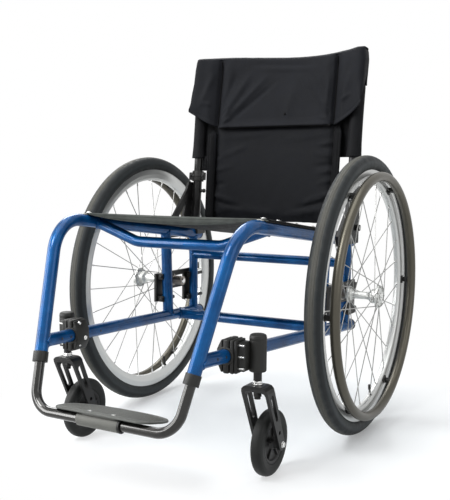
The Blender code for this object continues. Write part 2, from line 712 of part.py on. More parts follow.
def rear_rim():
    """Rim with the tyre on its flat outer face and a rounded back that the spokes reach."""
    outer = rim_seat_radius() - GAP
    inner = outer - RIM_DEPTH
    half = RIM_WIDTH / 2
    side = outer - RIM_SIDE
    back = half * 0.45
    profile = [(outer, -half), (outer, half), (side, half), (inner, back), (inner, -back), (side, -half)]
    return lathe(profile, WHEEL_SEGMENTS, outboard(WHEEL_X), closed=True, flats=True)


def push_rim():
    """Round tube ring with tabs that reach the rim's side."""
    centre_x = WHEEL_X + PUSH_RIM_OFFSET
    radius = PUSH_RIM_TUBE / 2
    profile = []
    for step in range(8):
        angle = step * math.pi / 4
        profile.append((PUSH_RIM_RADIUS + radius * math.cos(angle), radius * math.sin(angle)))
    ring = lathe(profile, WHEEL_SEGMENTS, outboard(centre_x), closed=True, flats=True)
    tabs = []
    start = WHEEL_X + RIM_WIDTH / 2 + GAP
    for index in range(PUSH_RIM_TABS):
        angle = math.radians(TAB_PHASE + index * 360 / PUSH_RIM_TABS)
        centre = AXLE + Vector((0, math.cos(angle), math.sin(angle))) * PUSH_RIM_RADIUS
        centre.x = start
        tabs.append(rod(centre, centre + X * (centre_x - start), TAB_SIZE / 2, sides=6))
    return join(ring, *tabs)


def spoke(flange_x, flange_radius, index, offset):
    """Spoke from its hole in a flange to the rim."""
    pitch = 2 * math.pi / SPOKES_PER_FLANGE
    lean = 1 if index % 2 else -1
    hub_angle = index * pitch + offset
    rim_angle = hub_angle + lean * SPOKE_CROSSINGS * pitch
    rim_back = (rim_seat_radius() - GAP - RIM_DEPTH) * math.cos(math.pi / WHEEL_SEGMENTS)
    hole = flange_radius - SPOKE_HOLE_INSET
    start = AXLE + Vector((0, math.cos(hub_angle), math.sin(hub_angle))) * hole
    end = AXLE + Vector((0, math.cos(rim_angle), math.sin(rim_angle))) * (rim_back - GAP)
    start.x = flange_x + lean * SPOKE_STAGGER
    end.x = WHEEL_X + math.copysign(SPOKE_RADIUS * 2, flange_x - WHEEL_X)
    return rod(start, end, SPOKE_RADIUS, sides=4)


def rear_hub():
    """Hub shell with its two flanges and all spokes."""
    bore = AXLE_RADIUS + RUNNING_GAP
    inner, outer = -HUB_INNER_END, HUB_OUTER_END
    inner_face = inner + FLANGE_WIDTH
    outer_face = outer - FLANGE_WIDTH
    profile = [(bore, inner), (INNER_FLANGE_RADIUS, inner), (INNER_FLANGE_RADIUS, inner_face),
               (HUB_SHELL_RADIUS, inner_face + 0.002), (HUB_SHELL_RADIUS, outer_face - HUB_STEP_LENGTH - 0.005),
               (HUB_STEP_RADIUS, outer_face - HUB_STEP_LENGTH), (HUB_STEP_RADIUS, outer_face),
               (OUTER_FLANGE_RADIUS, outer_face), (OUTER_FLANGE_RADIUS, outer - 0.001), (bore, outer)]
    shell = lathe(profile, 16, outboard(WHEEL_X), closed=True)
    half_flange = FLANGE_WIDTH / 2
    spokes = []
    for index in range(SPOKES_PER_FLANGE):
        half_pitch = math.pi / SPOKES_PER_FLANGE
        spokes.append(spoke(WHEEL_X + outer - half_flange, OUTER_FLANGE_RADIUS, index, 0.0))
        spokes.append(spoke(WHEEL_X + inner + half_flange, INNER_FLANGE_RADIUS, index, half_pitch))
    return join(shell, *spokes)


def quick_release_axle():
    """Pin through receiver and hub; its head holds the release button."""
    head = WHEEL_X + HUB_OUTER_END + GAP
    end = head + AXLE_HEAD_LENGTH
    bore = BUTTON_RADIUS + RUNNING_GAP
    tip = 0.0015
    profile = [(AXLE_RADIUS - tip, AXLE_INNER_X), (AXLE_RADIUS, AXLE_INNER_X + tip), (AXLE_RADIUS, head),
               (AXLE_HEAD_RADIUS, head), (AXLE_HEAD_RADIUS, end - 0.001), (AXLE_HEAD_RADIUS - 0.001, end),
               (bore, end), (bore, end - BUTTON_DEPTH)]
    return lathe(profile, 14, outboard(0))


def release_button():
    end = WHEEL_X + HUB_OUTER_END + GAP + AXLE_HEAD_LENGTH
    radius = BUTTON_RADIUS
    profile = [(radius, end - BUTTON_DEPTH + BUTTON_TRAVEL + 0.001), (radius, end + BUTTON_PROUD - 0.0008),
               (radius - 0.0008, end + BUTTON_PROUD)]
    return lathe(profile, 10, outboard(0))


def axle_receiver():
    """Threaded sleeve through the axle plate, with a flange against each face of it."""
    bore = AXLE_RADIUS + RUNNING_GAP
    end = WHEEL_X - HUB_INNER_END - 0.0006
    plate_inner = AXLE_PLATE_X - GAP
    plate_outer = AXLE_PLATE_X + AXLE_PLATE_THICKNESS + GAP
    sleeve, flange = RECEIVER_RADIUS, RECEIVER_FLANGE_RADIUS
    length = RECEIVER_FLANGE_LENGTH
    profile = [(bore, RECEIVER_INNER_X), (sleeve, RECEIVER_INNER_X), (sleeve, plate_inner - length),
               (flange, plate_inner - length), (flange, plate_inner), (sleeve, plate_inner),
               (sleeve, plate_outer), (flange, plate_outer), (flange, plate_outer + length),
               (sleeve, plate_outer + length), (sleeve, end), (bore, end)]
    return lathe(profile, 14, outboard(0), closed=True)


def axle_plate():
    """Plate outboard of the uprights with a block seated on each upright at two heights."""
    side = along(Vector((0, 0, 0)), X, Y)
    low, high = AXLE_PLATE_X, AXLE_PLATE_X + AXLE_PLATE_THICKNESS
    front = FRONT_UPRIGHT_Y - 0.022
    rear = REAR_UPRIGHT_Y + 0.010
    front_column = front + AXLE_PLATE_FRONT_COLUMN
    rear_column = rear - AXLE_PLATE_REAR_COLUMN
    top, bar = AXLE_PLATE_TOP_Z, AXLE_PLATE_BAR
    lower_bar = AXLE_PLATE_LOWER_BAR_Z
    front_foot = FRONT_CLAMP_HEIGHTS[0] - CLAMP_BLOCK_HEIGHT / 2
    rear_foot = REAR_CLAMP_HEIGHTS[0] - CLAMP_BLOCK_HEIGHT / 2
    outline = [(front, top), (front, front_foot), (front_column, front_foot), (front_column, lower_bar),
               (rear_column, lower_bar), (rear_column, rear_foot), (rear, rear_foot), (rear, top)]
    body = plate(outline, side, low, high)
    boss = RECEIVER_RADIUS + 0.006
    window = [(boss, lower_bar + 0.009), (rear_column, lower_bar + 0.009), (rear_column, top - bar),
              (boss, top - bar)]
    opening = plate(window, side, low - 0.01, high + 0.01)
    blocks, bolts = [], []
    half = CLAMP_BLOCK_WIDTH / 2
    for upright, heights, bolt_length in ((FRONT_UPRIGHT, FRONT_CLAMP_HEIGHTS, FRONT_BOLT_LENGTH),
                                          (REAR_UPRIGHT, REAR_CLAMP_HEIGHTS, REAR_BOLT_LENGTH)):
        for height in heights:
            centre = at(upright, 2, height)
            corner = Vector((centre.x + 0.002, centre.y - half, height - CLAMP_BLOCK_HEIGHT / 2))
            far_corner = Vector((high, centre.y + half, height + CLAMP_BLOCK_HEIGHT / 2))
            blocks.append(block(corner, far_corner))
            bolt = Vector((corner.x + CLAMP_BOLT_RADIUS, centre.y + half - 0.002, height))
            bolts.append(rod(bolt, bolt + Y * bolt_length, CLAMP_BOLT_RADIUS, sides=8))
    body = join(body, *blocks, *bolts)
    receiver = rod(AXLE, AXLE + X * 0.3, RECEIVER_RADIUS + GAP, flats=True)
    return cut(body, opening, receiver, coping(FRONT_UPRIGHT), coping(REAR_UPRIGHT, REAR_TUBE))


# Back posts and brackets

def bracket_inner_x():
    """Inner face of the bracket's outer plate."""
    return PIVOT_X + POST_RADIUS + BRACKET_CLEARANCE


def hinge_bracket():
    """Plate with a brace, an inner ear, a saddle on the seat rail and the pivot pin."""
    side = along(Vector((0, 0, 0)), X, Y)
    low = bracket_inner_x()
    high = low + BRACKET_THICKNESS
    foot = PIVOT_Y - 0.116
    outline = [(PIVOT_Y + 0.017, BRACKET_BASE_Z), (PIVOT_Y + 0.0235, BRACKET_TOP_Z),
               (PIVOT_Y - 0.0115, BRACKET_TOP_Z), (PIVOT_Y - 0.0230, BRACKET_TOP_Z - 0.020),
               (foot, BRACKET_BASE_Z + 0.022), (foot, BRACKET_BASE_Z)]
    window = [(PIVOT_Y - 0.0265, BRACKET_TOP_Z - 0.049), (PIVOT_Y - 0.042, BRACKET_BASE_Z + 0.036),
              (PIVOT_Y - 0.0745, BRACKET_BASE_Z + 0.036)]
    outer = cut(plate(outline, side, low, high), plate(window, side, low - 0.01, high + 0.01))
    saddle_top = PIVOT_Z - POST_RADIUS * 1.22
    ear_low = PIVOT_X - POST_RADIUS - BRACKET_CLEARANCE - INNER_EAR_THICKNESS
    ear_high = ear_low + INNER_EAR_THICKNESS
    saddle = block((ear_low, PIVOT_Y - 0.018, BRACKET_BASE_Z + 0.006), (high, PIVOT_Y + 0.018, saddle_top))
    ear_outline = [(PIVOT_Y - 0.018, saddle_top - 0.004), (PIVOT_Y + 0.018, saddle_top - 0.004)]
    ear_outline += arc((PIVOT_Y, PIVOT_Z), 0.010, 0, 180, 4)
    ear = plate(ear_outline, side, ear_low, ear_high)
    pin = rod(Vector((ear_low - 0.004, PIVOT_Y, PIVOT_Z)), Vector((high + 0.004, PIVOT_Y, PIVOT_Z)),
              PIVOT_PIN_RADIUS, sides=10)
    knob = rod(Vector((high - 0.001, PIVOT_Y, PIVOT_Z)), Vector((high + 0.009, PIVOT_Y, PIVOT_Z)),
               PIVOT_PIN_RADIUS * 1.8, sides=10)
    return cut(join(outer, saddle, ear, pin, knob), coping(RAIL))


def back_post():
    """Hollow post with cross holes for the pivot pin and the lock pin."""
    start = PIVOT - direction(POST) * POST_END_BELOW_PIVOT
    tube = sweep([start, at(POST, 2, POST_TOP_Z)], POST_RADIUS, POST_RADIUS - POST_WALL)
    reach = X * 0.03
    pivot_hole = rod(PIVOT - reach, PIVOT + reach, PIVOT_PIN_RADIUS + RUNNING_GAP, sides=10, flats=True)
    lock = at(POST, 2, LOCK_PIN_Z)
    lock_hole = rod(lock - reach, lock + reach, LOCK_PIN_RADIUS + RUNNING_GAP, sides=8, flats=True)
    return cut(tube, pivot_hole, lock_hole)


def post_collar():
    """Clamp collar with a lug towards the middle."""
    bore = POST_RADIUS + GAP
    centre = at(POST, 2, COLLAR_Z)
    half = POST_COLLAR_HEIGHT / 2
    matrix = along(centre, direction(POST))
    ring = lathe([(POST_COLLAR_RADIUS, -half), (POST_COLLAR_RADIUS, half)], 14, matrix)
    lug = plate([(-0.0065, -0.024), (0.0065, -0.024), (0.0065, 0.021), (-0.0065, 0.021)], matrix,
                -half + 0.003, half - 0.003)
    hole = lathe([(bore, -2 * half), (bore, 2 * half)], 14, matrix, flats=True)
    return cut(join(ring, lug), hole)


def lock_pin():
    """Pin through the back post with its pull knob on the inner side."""
    lock = at(POST, 2, LOCK_PIN_Z)
    surface = lock.x - POST_RADIUS - 0.001
    knob_end = surface - LOCK_KNOB_LENGTH
    pin_end = lock.x + POST_RADIUS - 0.001
    profile = [(LOCK_KNOB_RADIUS - 0.001, knob_end), (LOCK_KNOB_RADIUS, knob_end + 0.001),
               (LOCK_KNOB_RADIUS, surface), (LOCK_PIN_RADIUS, surface), (LOCK_PIN_RADIUS, pin_end)]
    return lathe(profile, 10, outboard(0, lock))


# Back upholstery

def hollow_depth(x, post_x):
    """How far the cloth's middle surface lies behind the posts' plane."""
    return BACK_HOLLOW * (1 - (x / post_x) ** 2)


def top_sag(x, height):
    """Droop of the top edge between the posts, which fades out down to the flap's rear edge."""
    across = max(0.0, 1 - (x / PIVOT_X) ** 2)
    up = min(1.0, max(0.0, (height - FLAP_REAR_Z) / (CLOTH_TOP_Z - FLAP_REAR_Z)))
    return TOP_SAG * across * up


def slab(near, far):
    """Closed sheet between two grids of points, joined round their borders."""
    shape = bmesh.new()
    front = [[shape.verts.new(point) for point in row] for row in near]
    rear = [[shape.verts.new(point) for point in row] for row in far]
    for grid in (front, rear):
        for low, high in zip(grid, grid[1:]):
            for index in range(len(low) - 1):
                shape.faces.new((low[index], low[index + 1], high[index + 1], high[index]))
    edges = [(front[0], rear[0]), (front[-1], rear[-1])]
    for end in (0, -1):
        edges.append(([row[end] for row in front], [row[end] for row in rear]))
    for edge, other in edges:
        for index in range(len(edge) - 1):
            shape.faces.new((edge[index], edge[index + 1], other[index + 1], other[index]))
    bmesh.ops.recalc_face_normals(shape, faces=shape.faces)
    return shape


def panel(half_width, heights, front, rear, columns):
    """Upright panel that follows the hollow of the back. Its half width is given for a height, and
    front and rear give the offsets from the cloth's middle surface at a share across (-1 to 1) and
    a share up (0 to 1)."""
    near, far = [], []
    for row, height in enumerate(heights):
        post = at(POST, 2, height)
        up = row / (len(heights) - 1)
        near_row, far_row = [], []
        for column in range(columns + 1):
            share = 2 * column / columns - 1
            x = share * half_width(height)
            middle = post.y + hollow_depth(x, post.x)
            z = height - top_sag(x, height)
            near_row.append(Vector((x, middle + front(share, up), z)))
            far_row.append(Vector((x, middle + rear(share, up), z)))
        near.append(near_row)
        far.append(far_row)
    return slab(near, far)


def spread(low, high, count):
    return [low + (high - low) * step / count for step in range(count + 1)]


def back_sleeves():
    """Rear cloth with a sewn sleeve round each post."""
    outer = POST_RADIUS + SLEEVE_WALL
    low, high = at(POST, 2, SLEEVE_BOTTOM_Z), at(POST, 2, SLEEVE_TOP_Z)
    half = CLOTH_THICKNESS / 2
    cloth = panel(lambda height: at(POST, 2, height).x, spread(SLEEVE_BOTTOM_Z, CLOTH_TOP_Z, 4),
                  lambda share, up: -half, lambda share, up: half, 14)
    sleeves = [rod(low, high, outer, sides=14), rod(mirrored(low), mirrored(high), outer, sides=14)]
    shell = join(cloth, *sleeves)
    ends = (at(POST, 2, SLEEVE_BOTTOM_Z - 0.05), at(POST, 2, CLOTH_TOP_Z + 0.05))
    bores = [rod(*ends, POST_RADIUS + GAP, flats=True),
             rod(mirrored(ends[0]), mirrored(ends[1]), POST_RADIUS + GAP, flats=True)]
    return cut(shell, *bores)


def back_pad():
    """Padded front of the back: crowned between its seams, drawn in at the seams and at its rim."""
    rear = -CLOTH_THICKNESS / 2 - GAP
    seam = FLAP_SECTION_X / PAD_HALF_WIDTH

    def crown(share, up):
        rim = min(1.0, 7 * (1 - abs(share)), 16 * up + 0.001, 16 * (1 - up) + 0.001)
        groove = 0.25 * max(0.0, 1 - abs(abs(share) - seam) / 0.05)
        middle = max(0.0, 1 - (share / seam) ** 2) * (1 - (2 * up - 1) ** 4)
        return rear - PAD_THICKNESS * (0.5 + 0.5 * math.sqrt(max(0.0, rim)) - groove) - PAD_CROWN * middle

    return panel(lambda height: PAD_HALF_WIDTH, spread(PAD_BOTTOM_Z, PAD_TOP_Z, 9), crown,
                 lambda share, up: rear, 14)


def curl(distance, half_width):
    """Share, from 0 to 1, by which the flap's ends are drawn in to the posts' plane."""
    share = (distance - FLAP_CURL_X) / (half_width - FLAP_CURL_X)
    share = min(1.0, max(0.0, share))
    return 1 - (1 - share ** 3) ** (1 / 3)


def flap_front(height, x, half_width, inset):
    """Front face of the flap, or a surface inset from it."""
    post = at(POST, 2, height)
    depth = CLOTH_THICKNESS / 2 + PAD_THICKNESS + PAD_CROWN + FLAP_CLEARANCE + GAP + FLAP_THICKNESS - inset
    distance = min(abs(x), half_width)
    hanging = post.y + hollow_depth(distance, post.x) - depth
    pocket = min(1.0, max(0.0, (height - FLAP_POCKET_Z) / 0.065))
    return hanging + (post.y - GAP - hanging) * curl(distance, half_width) * pocket


def flap_rear(height, x, half_width, inset):
    post = at(POST, 2, height)
    middle = CLOTH_THICKNESS / 2 + FLAP_CLEARANCE + FLAP_THICKNESS
    near_post = min(1.0, max(0.0, (abs(x) - 0.165) / 0.025))
    depth = middle + (FLAP_POST_DEPTH - middle) * near_post - inset
    hanging = post.y + max(0.0, hollow_depth(x, post.x)) + depth
    return hanging + (post.y + GAP - hanging) * curl(abs(x), half_width)


def flap_solid(rows, shares, beyond=0.0):
    """Solid between the flap's faces from rows of (height, half width, front inset, rear inset), and
    reaching beyond its ends where a distance is given."""
    front_grid, rear_grid = [], []
    for height, half_width, front_inset, rear_inset in rows:
        front_row, rear_row = [], []
        for share in shares:
            x = share * (half_width + beyond)
            z = height - top_sag(x, height)
            front_row.append(Vector((x, flap_front(height, x, half_width, front_inset), z)))
            rear_row.append(Vector((x, flap_rear(height, x, half_width + 2 * beyond, rear_inset), z)))
        front_grid.append(front_row)
        rear_grid.append(rear_row)
    return slab(front_grid, rear_grid)


def back_flap():
    """Flap folded over the top of the back: a pocket over both posts, with its front side hanging
    down lower than its rear one."""
    half_shares = [0.22, 0.44, 0.62, 0.75, 0.86, 0.915, 0.96, 0.985, 1.0]
    shares = [-share for share in half_shares[::-1]] + [0.0] + half_shares
    outer_rows, under_rows, pocket_rows = [], [], []
    wall = FLAP_THICKNESS + 2 * GAP
    roof = CLOTH_TOP_Z + FLAP_CLEARANCE
    for share, width in FLAP_WIDTHS:
        height = BACK_TOP_Z - share * FLAP_DROP
        inset = FLAP_THICKNESS * max(0.0, (height - roof) / (BACK_TOP_Z - roof)) ** 2
        outer_rows.append((height, width, inset, inset))
        if height <= FLAP_REAR_Z:
            under_rows.append((height, width, FLAP_THICKNESS, -0.05))
        if FLAP_REAR_Z <= height < roof:
            pocket_rows.append((height, width - FLAP_SIDE_WALL, wall, FLAP_THICKNESS))
    pocket_rows.append((roof, pocket_rows[-1][1] - 0.002, wall, FLAP_THICKNESS))
    below = 0.006
    pocket_rows[0] = (pocket_rows[0][0] - below, *pocket_rows[0][1:])
    under_rows[0] = (under_rows[0][0] - below, *under_rows[0][1:])
    outside = flap_solid(outer_rows, shares)
    under = flap_solid(under_rows, shares, 0.02)
    pocket = flap_solid(pocket_rows, shares)
    reach = 0.27
    seam_z = FLAP_EDGE_Z - FLAP_EDGE_BOW
    edge = [(0.0, FLAP_EDGE_Z), (FLAP_SECTION_X * 0.6, FLAP_EDGE_Z - FLAP_EDGE_BOW * 0.4),
            (FLAP_SECTION_X, seam_z), (reach, seam_z + (reach - FLAP_SECTION_X) * FLAP_CORNER_RISE),
            (reach, FLAP_EDGE_Z - FLAP_DROP)]
    outline = [(-x, z) for x, z in edge[:0:-1]] + edge
    lower = plate(outline, along(Vector((0, 0, 0)), -Y, X), -0.4, 0.4)
    return cut(outside, lower, pocket, under)


# Seat sling

def sling_sag(y):
    """The sling is taut at its front hem and sags behind it."""
    share = min(1.0, (y - SLING_FRONT_Y) / 0.12)
    return SLING_FRONT_SAG + (SLING_SAG - SLING_FRONT_SAG) * share


def sling_line(y):
    """Half of the sling's underside across at y, from the middle out and over the rail."""
    rail_radius = FRAME_TUBE / 2 + GAP
    rail = at(RAIL, 1, y)
    sag = sling_sag(y)
    leave = rail_radius * 2 * sag / rail.x
    edge_x = rail.x - leave
    edge_z = rail.z + math.sqrt(rail_radius ** 2 - leave ** 2)
    line = []
    for step in range(6):
        share = step / 5
        line.append((edge_x * share, edge_z - sag * (1 - share ** 2), share))
    for step in (1, 2):
        offset = -leave + (leave + SLING_WRAP) * step / 2
        line.append((rail.x + offset, rail.z + math.sqrt(rail_radius ** 2 - offset ** 2), 1.0))
    return [(-x, z, share) for x, z, share in line[:0:-1]] + line


def seat_sling():
    """Sling over both rails, sagging between them, with a hem turned down in front."""
    thick = SLING_THICKNESS
    front = sling_line(SLING_FRONT_Y)
    low, high = [], []
    bottom_outer, bottom_inner, fold_outer, fold_inner = [], [], [], []
    for x, z, share in front:
        drop = SLING_HEM_DROP * (1 - share ** 2.5)
        inner_y = SLING_FRONT_Y + thick * (0.4 + 0.6 * drop / SLING_HEM_DROP)
        z += GAP
        bottom_outer.append(Vector((x, SLING_FRONT_Y, z - drop)))
        bottom_inner.append(Vector((x, inner_y, z - drop)))
        fold_outer.append(Vector((x, SLING_FRONT_Y, z + thick - 0.001)))
        fold_inner.append(Vector((x, SLING_FRONT_Y + thick + 0.0002, z)))
    low += [bottom_inner, fold_inner]
    high += [bottom_outer, fold_outer]
    for y in [SLING_FRONT_Y + 0.006, SLING_FRONT_Y + 0.05, *spread(SLING_FRONT_Y + 0.12, SLING_REAR_Y, 4)]:
        low.append([Vector((x, y, z + GAP)) for x, z, _ in sling_line(y)])
        high.append([Vector((x, y, z + GAP + thick)) for x, z, _ in sling_line(y)])
    return slab(low, high)


def build_chair():
    clear_scene()
    chair = bpy.data.objects.new("wheelchair", None)
    bpy.context.scene.collection.objects.link(chair)
    chair.location = (0, ORIGIN_SHIFT, 0)

    place_pair("main_tube", main_tube, "blue_paint")
    place_pair("lower_side_tube", lower_side_tube, "blue_paint")
    place_pair("front_upright", front_upright, "blue_paint")
    place_pair("rear_upright", rear_upright, "blue_paint")
    place("front_cross_tube", front_cross_tube(), "blue_paint")
    place("rear_upper_cross_tube", rear_upper_cross_tube(), "blue_paint")
    place("rear_lower_cross_tube", rear_lower_cross_tube(), "blue_paint")

    place_pair("footrest_collar", footrest_collar, "black_plastic")
    place("footrest_tube", footrest_tube(), "black_paint", FOOTREST_AXIS)
    place("footplate_clamp", footplate_clamp(), "grey_paint", FOOTREST_AXIS)
    place("footplate", footplate(), "grey_paint", FOOTREST_AXIS)

    place_pair("caster_clamp", caster_clamp, "black_paint")
    place_pair("caster_housing", caster_housing, "black_paint", CASTER_STEM)
    place_pair("caster_stem", caster_stem, "black_paint", CASTER_STEM)
    place_pair("caster_spacer", caster_spacer, "silver", CASTER_STEM)
    place_pair("caster_fork", caster_fork, "black_paint", CASTER_STEM)
    place_pair("caster_axle_bolt", caster_axle_bolt, "silver", CASTER_AXLE)
    place_pair("caster_hub", caster_hub, "black_plastic", CASTER_AXLE)
    place_pair("caster_tyre", caster_tyre, "grey_rubber", CASTER_AXLE)

    wheel_centre = AXLE + X * WHEEL_X
    place_pair("rear_tyre", rear_tyre, "grey_rubber", wheel_centre)
    place_pair("rear_rim", rear_rim, "silver", wheel_centre)
    place_pair("rear_hub", rear_hub, "silver", wheel_centre)
    place_pair("push_rim", push_rim, "dark_tube", wheel_centre)
    place_pair("quick_release_axle", quick_release_axle, "silver", wheel_centre)
    place_pair("release_button", release_button, "silver", wheel_centre)
    place_pair("axle_receiver", axle_receiver, "silver", AXLE)
    place_pair("axle_plate", axle_plate, "black_paint")

    place_pair("hinge_bracket", hinge_bracket, "black_paint")
    place_pair("back_post", back_post, "black_paint", PIVOT)
    place_pair("post_collar", post_collar, "black_plastic", PIVOT)
    place_pair("lock_pin", lock_pin, "black_plastic", at(POST, 2, LOCK_PIN_Z))
    back_origin = Vector((0, PIVOT_Y, PIVOT_Z))
    place("back_sleeves", back_sleeves(), "black_cloth", back_origin)
    place("back_pad", back_pad(), "black_cloth", back_origin)
    place("back_flap", back_flap(), "black_cloth", back_origin)
    place("seat_sling", seat_sling(), "black_cloth")


build_chair()
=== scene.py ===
"""Looks of the rigid wheelchair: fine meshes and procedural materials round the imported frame.

Lengths are in metres. Shapes are worked out in chair coordinates, whose origin lies on the floor
under the rear axle, and moved by SHIFT along Y into the frame's own coordinates.
"""
import math

import bmesh
import bpy
from mathutils import Matrix, Vector, noise

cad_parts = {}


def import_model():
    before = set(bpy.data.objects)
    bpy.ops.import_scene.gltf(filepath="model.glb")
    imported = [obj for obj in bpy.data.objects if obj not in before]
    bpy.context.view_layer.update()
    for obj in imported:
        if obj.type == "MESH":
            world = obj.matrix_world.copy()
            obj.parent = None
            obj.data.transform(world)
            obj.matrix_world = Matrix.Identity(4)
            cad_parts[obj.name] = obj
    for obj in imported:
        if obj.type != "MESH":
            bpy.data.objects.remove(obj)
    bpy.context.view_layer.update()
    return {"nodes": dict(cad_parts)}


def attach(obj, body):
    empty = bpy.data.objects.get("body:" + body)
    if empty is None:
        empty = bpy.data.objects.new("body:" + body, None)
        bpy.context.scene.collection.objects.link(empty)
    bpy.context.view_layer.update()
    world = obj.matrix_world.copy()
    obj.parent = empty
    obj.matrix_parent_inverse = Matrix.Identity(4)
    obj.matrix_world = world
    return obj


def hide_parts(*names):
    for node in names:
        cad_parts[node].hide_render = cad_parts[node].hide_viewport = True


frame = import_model()

SHIFT = 0.13822
X, Y, Z = Vector((1, 0, 0)), Vector((0, 1, 0)), Vector((0, 0, 1))
TAU = 2 * math.pi
FRAME_TUBE, REAR_TUBE, FOOTREST_TUBE, POST_TUBE = 0.0127, 0.0111, 0.009525, 0.011
WHEEL_X, AXLE_HEIGHT, TYRE_SECTION = 0.2829, 0.305, 0.018
TYRE_MIDDLE = AXLE_HEIGHT - TYRE_SECTION
CASTER_X, PIVOT_X = 0.2215, 0.2085
DOWN_TUBE_END = 0.2137
WHEEL_STEPS = 176


# lines of the chair

def at(line, axis, value):
    start, end = line
    return start.lerp(end, (value - start[axis]) / (end[axis] - start[axis]))


def direction(line):
    return (line[1] - line[0]).normalized()


def mirrored(point):
    return Vector((-point.x, point.y, point.z))


def unit(value):
    """The value, kept between 0 and 1."""
    return min(1.0, max(0.0, value))


SEAT_CORNER = Vector((0.2035, -0.4387, 0.4785))
SEAT_REAR = Vector((0.2095, 0.1120, 0.4150))
DOWN_STEP = Vector((math.tan(math.radians(7.8)), math.tan(math.radians(20.3)), 1))
DOWN_TUBE = (SEAT_CORNER - DOWN_STEP, SEAT_CORNER)
RAIL = (SEAT_CORNER, SEAT_REAR)
LOWER_TUBE = (at(DOWN_TUBE, 2, 0.2475), Vector((0.2105, 0.1200, 0.2145)))
FRONT_UPRIGHT = (at(LOWER_TUBE, 1, -0.045), at(RAIL, 1, -0.045))
REAR_UPRIGHT = (at(LOWER_TUBE, 1, 0.087), at(RAIL, 1, 0.087))
PIVOT = Vector((PIVOT_X, 0.0960, 0.447))
POST = (PIVOT, PIVOT + Vector((math.tan(math.radians(0.5)), math.tan(math.radians(6.4)), 1)))
AXLE = Vector((0, 0, AXLE_HEIGHT))
CASTER_STEM = Vector((CASTER_X, -0.395, 0))
CASTER_AXLE = Vector((CASTER_X, -0.342, 0.0635))
FOOTREST_CORNER = at(DOWN_TUBE, 2, 0.129)
FOOTREST_AXIS = Vector((0, FOOTREST_CORNER.y, 0.129))


# materials

def new_node(tree, kind, inputs, **settings):
    """Node with its settings, and with a value or a link on each named input."""
    node = tree.nodes.new("ShaderNode" + kind)
    for name, value in settings.items():
        setattr(node, name, value)
    for name, value in inputs.items():
        if isinstance(value, bpy.types.NodeSocket):
            tree.links.new(value, node.inputs[name])
        else:
            node.inputs[name].default_value = value
    return node


def seen_directly(tree):
    """1 for the rays of the camera, of reflections and of clear things, else 0."""
    path = new_node(tree, "LightPath", {}).outputs
    seen = new_node(tree, "Math", {0: path["Is Camera Ray"], 1: path["Is Glossy Ray"]}, operation="MAXIMUM")
    both = new_node(tree, "Math", {0: seen.outputs[0], 1: path["Is Transmission Ray"]}, operation="MAXIMUM")
    return both.outputs[0]


class Nodes:
    """Short names for the nodes of one material."""

    def __init__(self, name):
        self.material = bpy.data.materials.new(name)
        self.material.use_nodes = True
        self.tree = self.material.node_tree
        self.shader = self.tree.nodes["Principled BSDF"]
        self.place = self.node("TexCoord", {}).outputs["Object"]

    def node(self, kind, inputs, **settings):
        return new_node(self.tree, kind, inputs, **settings)

    def noise(self, scale, detail=2.0, vector=None):
        inputs = {"Scale": scale, "Detail": detail, "Vector": vector or self.place}
        return self.node("TexNoise", inputs).outputs["Fac"]

    def wave(self, scale, axis, distortion):
        inputs = {"Scale": scale, "Distortion": distortion, "Vector": self.place}
        return self.node("TexWave", inputs, bands_direction=axis).outputs["Fac"]

    def math(self, operation, *values):
        return self.node("Math", dict(enumerate(values)), operation=operation).outputs[0]

    def blend(self, first, share, second, other_share):
        parts = self.math("MULTIPLY", first, share), self.math("MULTIPLY", second, other_share)
        return self.math("ADD", *parts)

    def range(self, value, low, high, from_low=0.0, from_high=1.0):
        inputs = {"Value": value, "From Min": from_low, "From Max": from_high, "To Min": low,
                  "To Max": high}
        return self.node("MapRange", inputs).outputs["Result"]

    def ramp(self, value, *stops):
        node = self.node("ValToRGB", {"Fac": value})
        ramp = node.color_ramp
        while len(ramp.elements) < len(stops):
            ramp.elements.new(0.5)
        for element, (position, colour) in zip(ramp.elements, stops):
            element.position = position
            element.color = (*colour, 1)
        return node.outputs["Color"]

    def scaled(self, colour, factor):
        return self.node("VectorMath", {0: colour, "Scale": factor}, operation="SCALE").outputs["Vector"]

    def separate(self):
        return self.node("SeparateXYZ", {0: self.place}).outputs

    def colour(self, value):
        self.tree.links.new(value, self.shader.inputs["Base Color"])

    def rough(self, value):
        self.tree.links.new(value, self.shader.inputs["Roughness"])

    def bump(self, height, distance, strength, **below):
        node = self.node("Bump", {"Distance": distance, "Strength": strength, "Height": height, **below})
        self.tree.links.new(node.outputs["Normal"], self.shader.inputs["Normal"])
        return node.outputs["Normal"]

    def set(self, **values):
        for name, value in values.items():
            self.shader.inputs[name.replace("_", " ")].default_value = value


def shade(colour, factor, lift=0.0):
    return tuple(value * factor + lift for value in colour)


def paint_blue():
    n = Nodes("blue_metallic_paint")
    n.set(Metallic=0.34, Specular_IOR_Level=0.05, Coat_Weight=0.40, Coat_Roughness=0.04, Coat_IOR=1.45)
    cloud = n.noise(24, 3)
    n.colour(n.ramp(n.blend(n.noise(2600, 1), 0.6, cloud, 0.4), (0.30, (0.0004, 0.019, 0.068)),
                    (0.52, (0.0008, 0.054, 0.180)), (0.75, (0.004, 0.135, 0.370))))
    n.rough(n.range(cloud, 0.30, 0.42))
    n.bump(n.noise(160), 0.00006, 0.5)
    return n.material


def grained(name, specular, scales, share, low, high, rough, height):
    """Fine grain over slow clouds. A stop is its place on the ramp and its colour."""
    n = Nodes(name)
    n.set(Specular_IOR_Level=specular)
    fine = n.noise(scales[0])
    mixed = n.blend(fine, share, n.noise(scales[1], 4), 1 - share)
    n.colour(n.ramp(mixed, low, high))
    n.rough(n.range(mixed, *rough, 0.3, 0.7))
    n.bump(fine, height, 0.6)
    return n.material


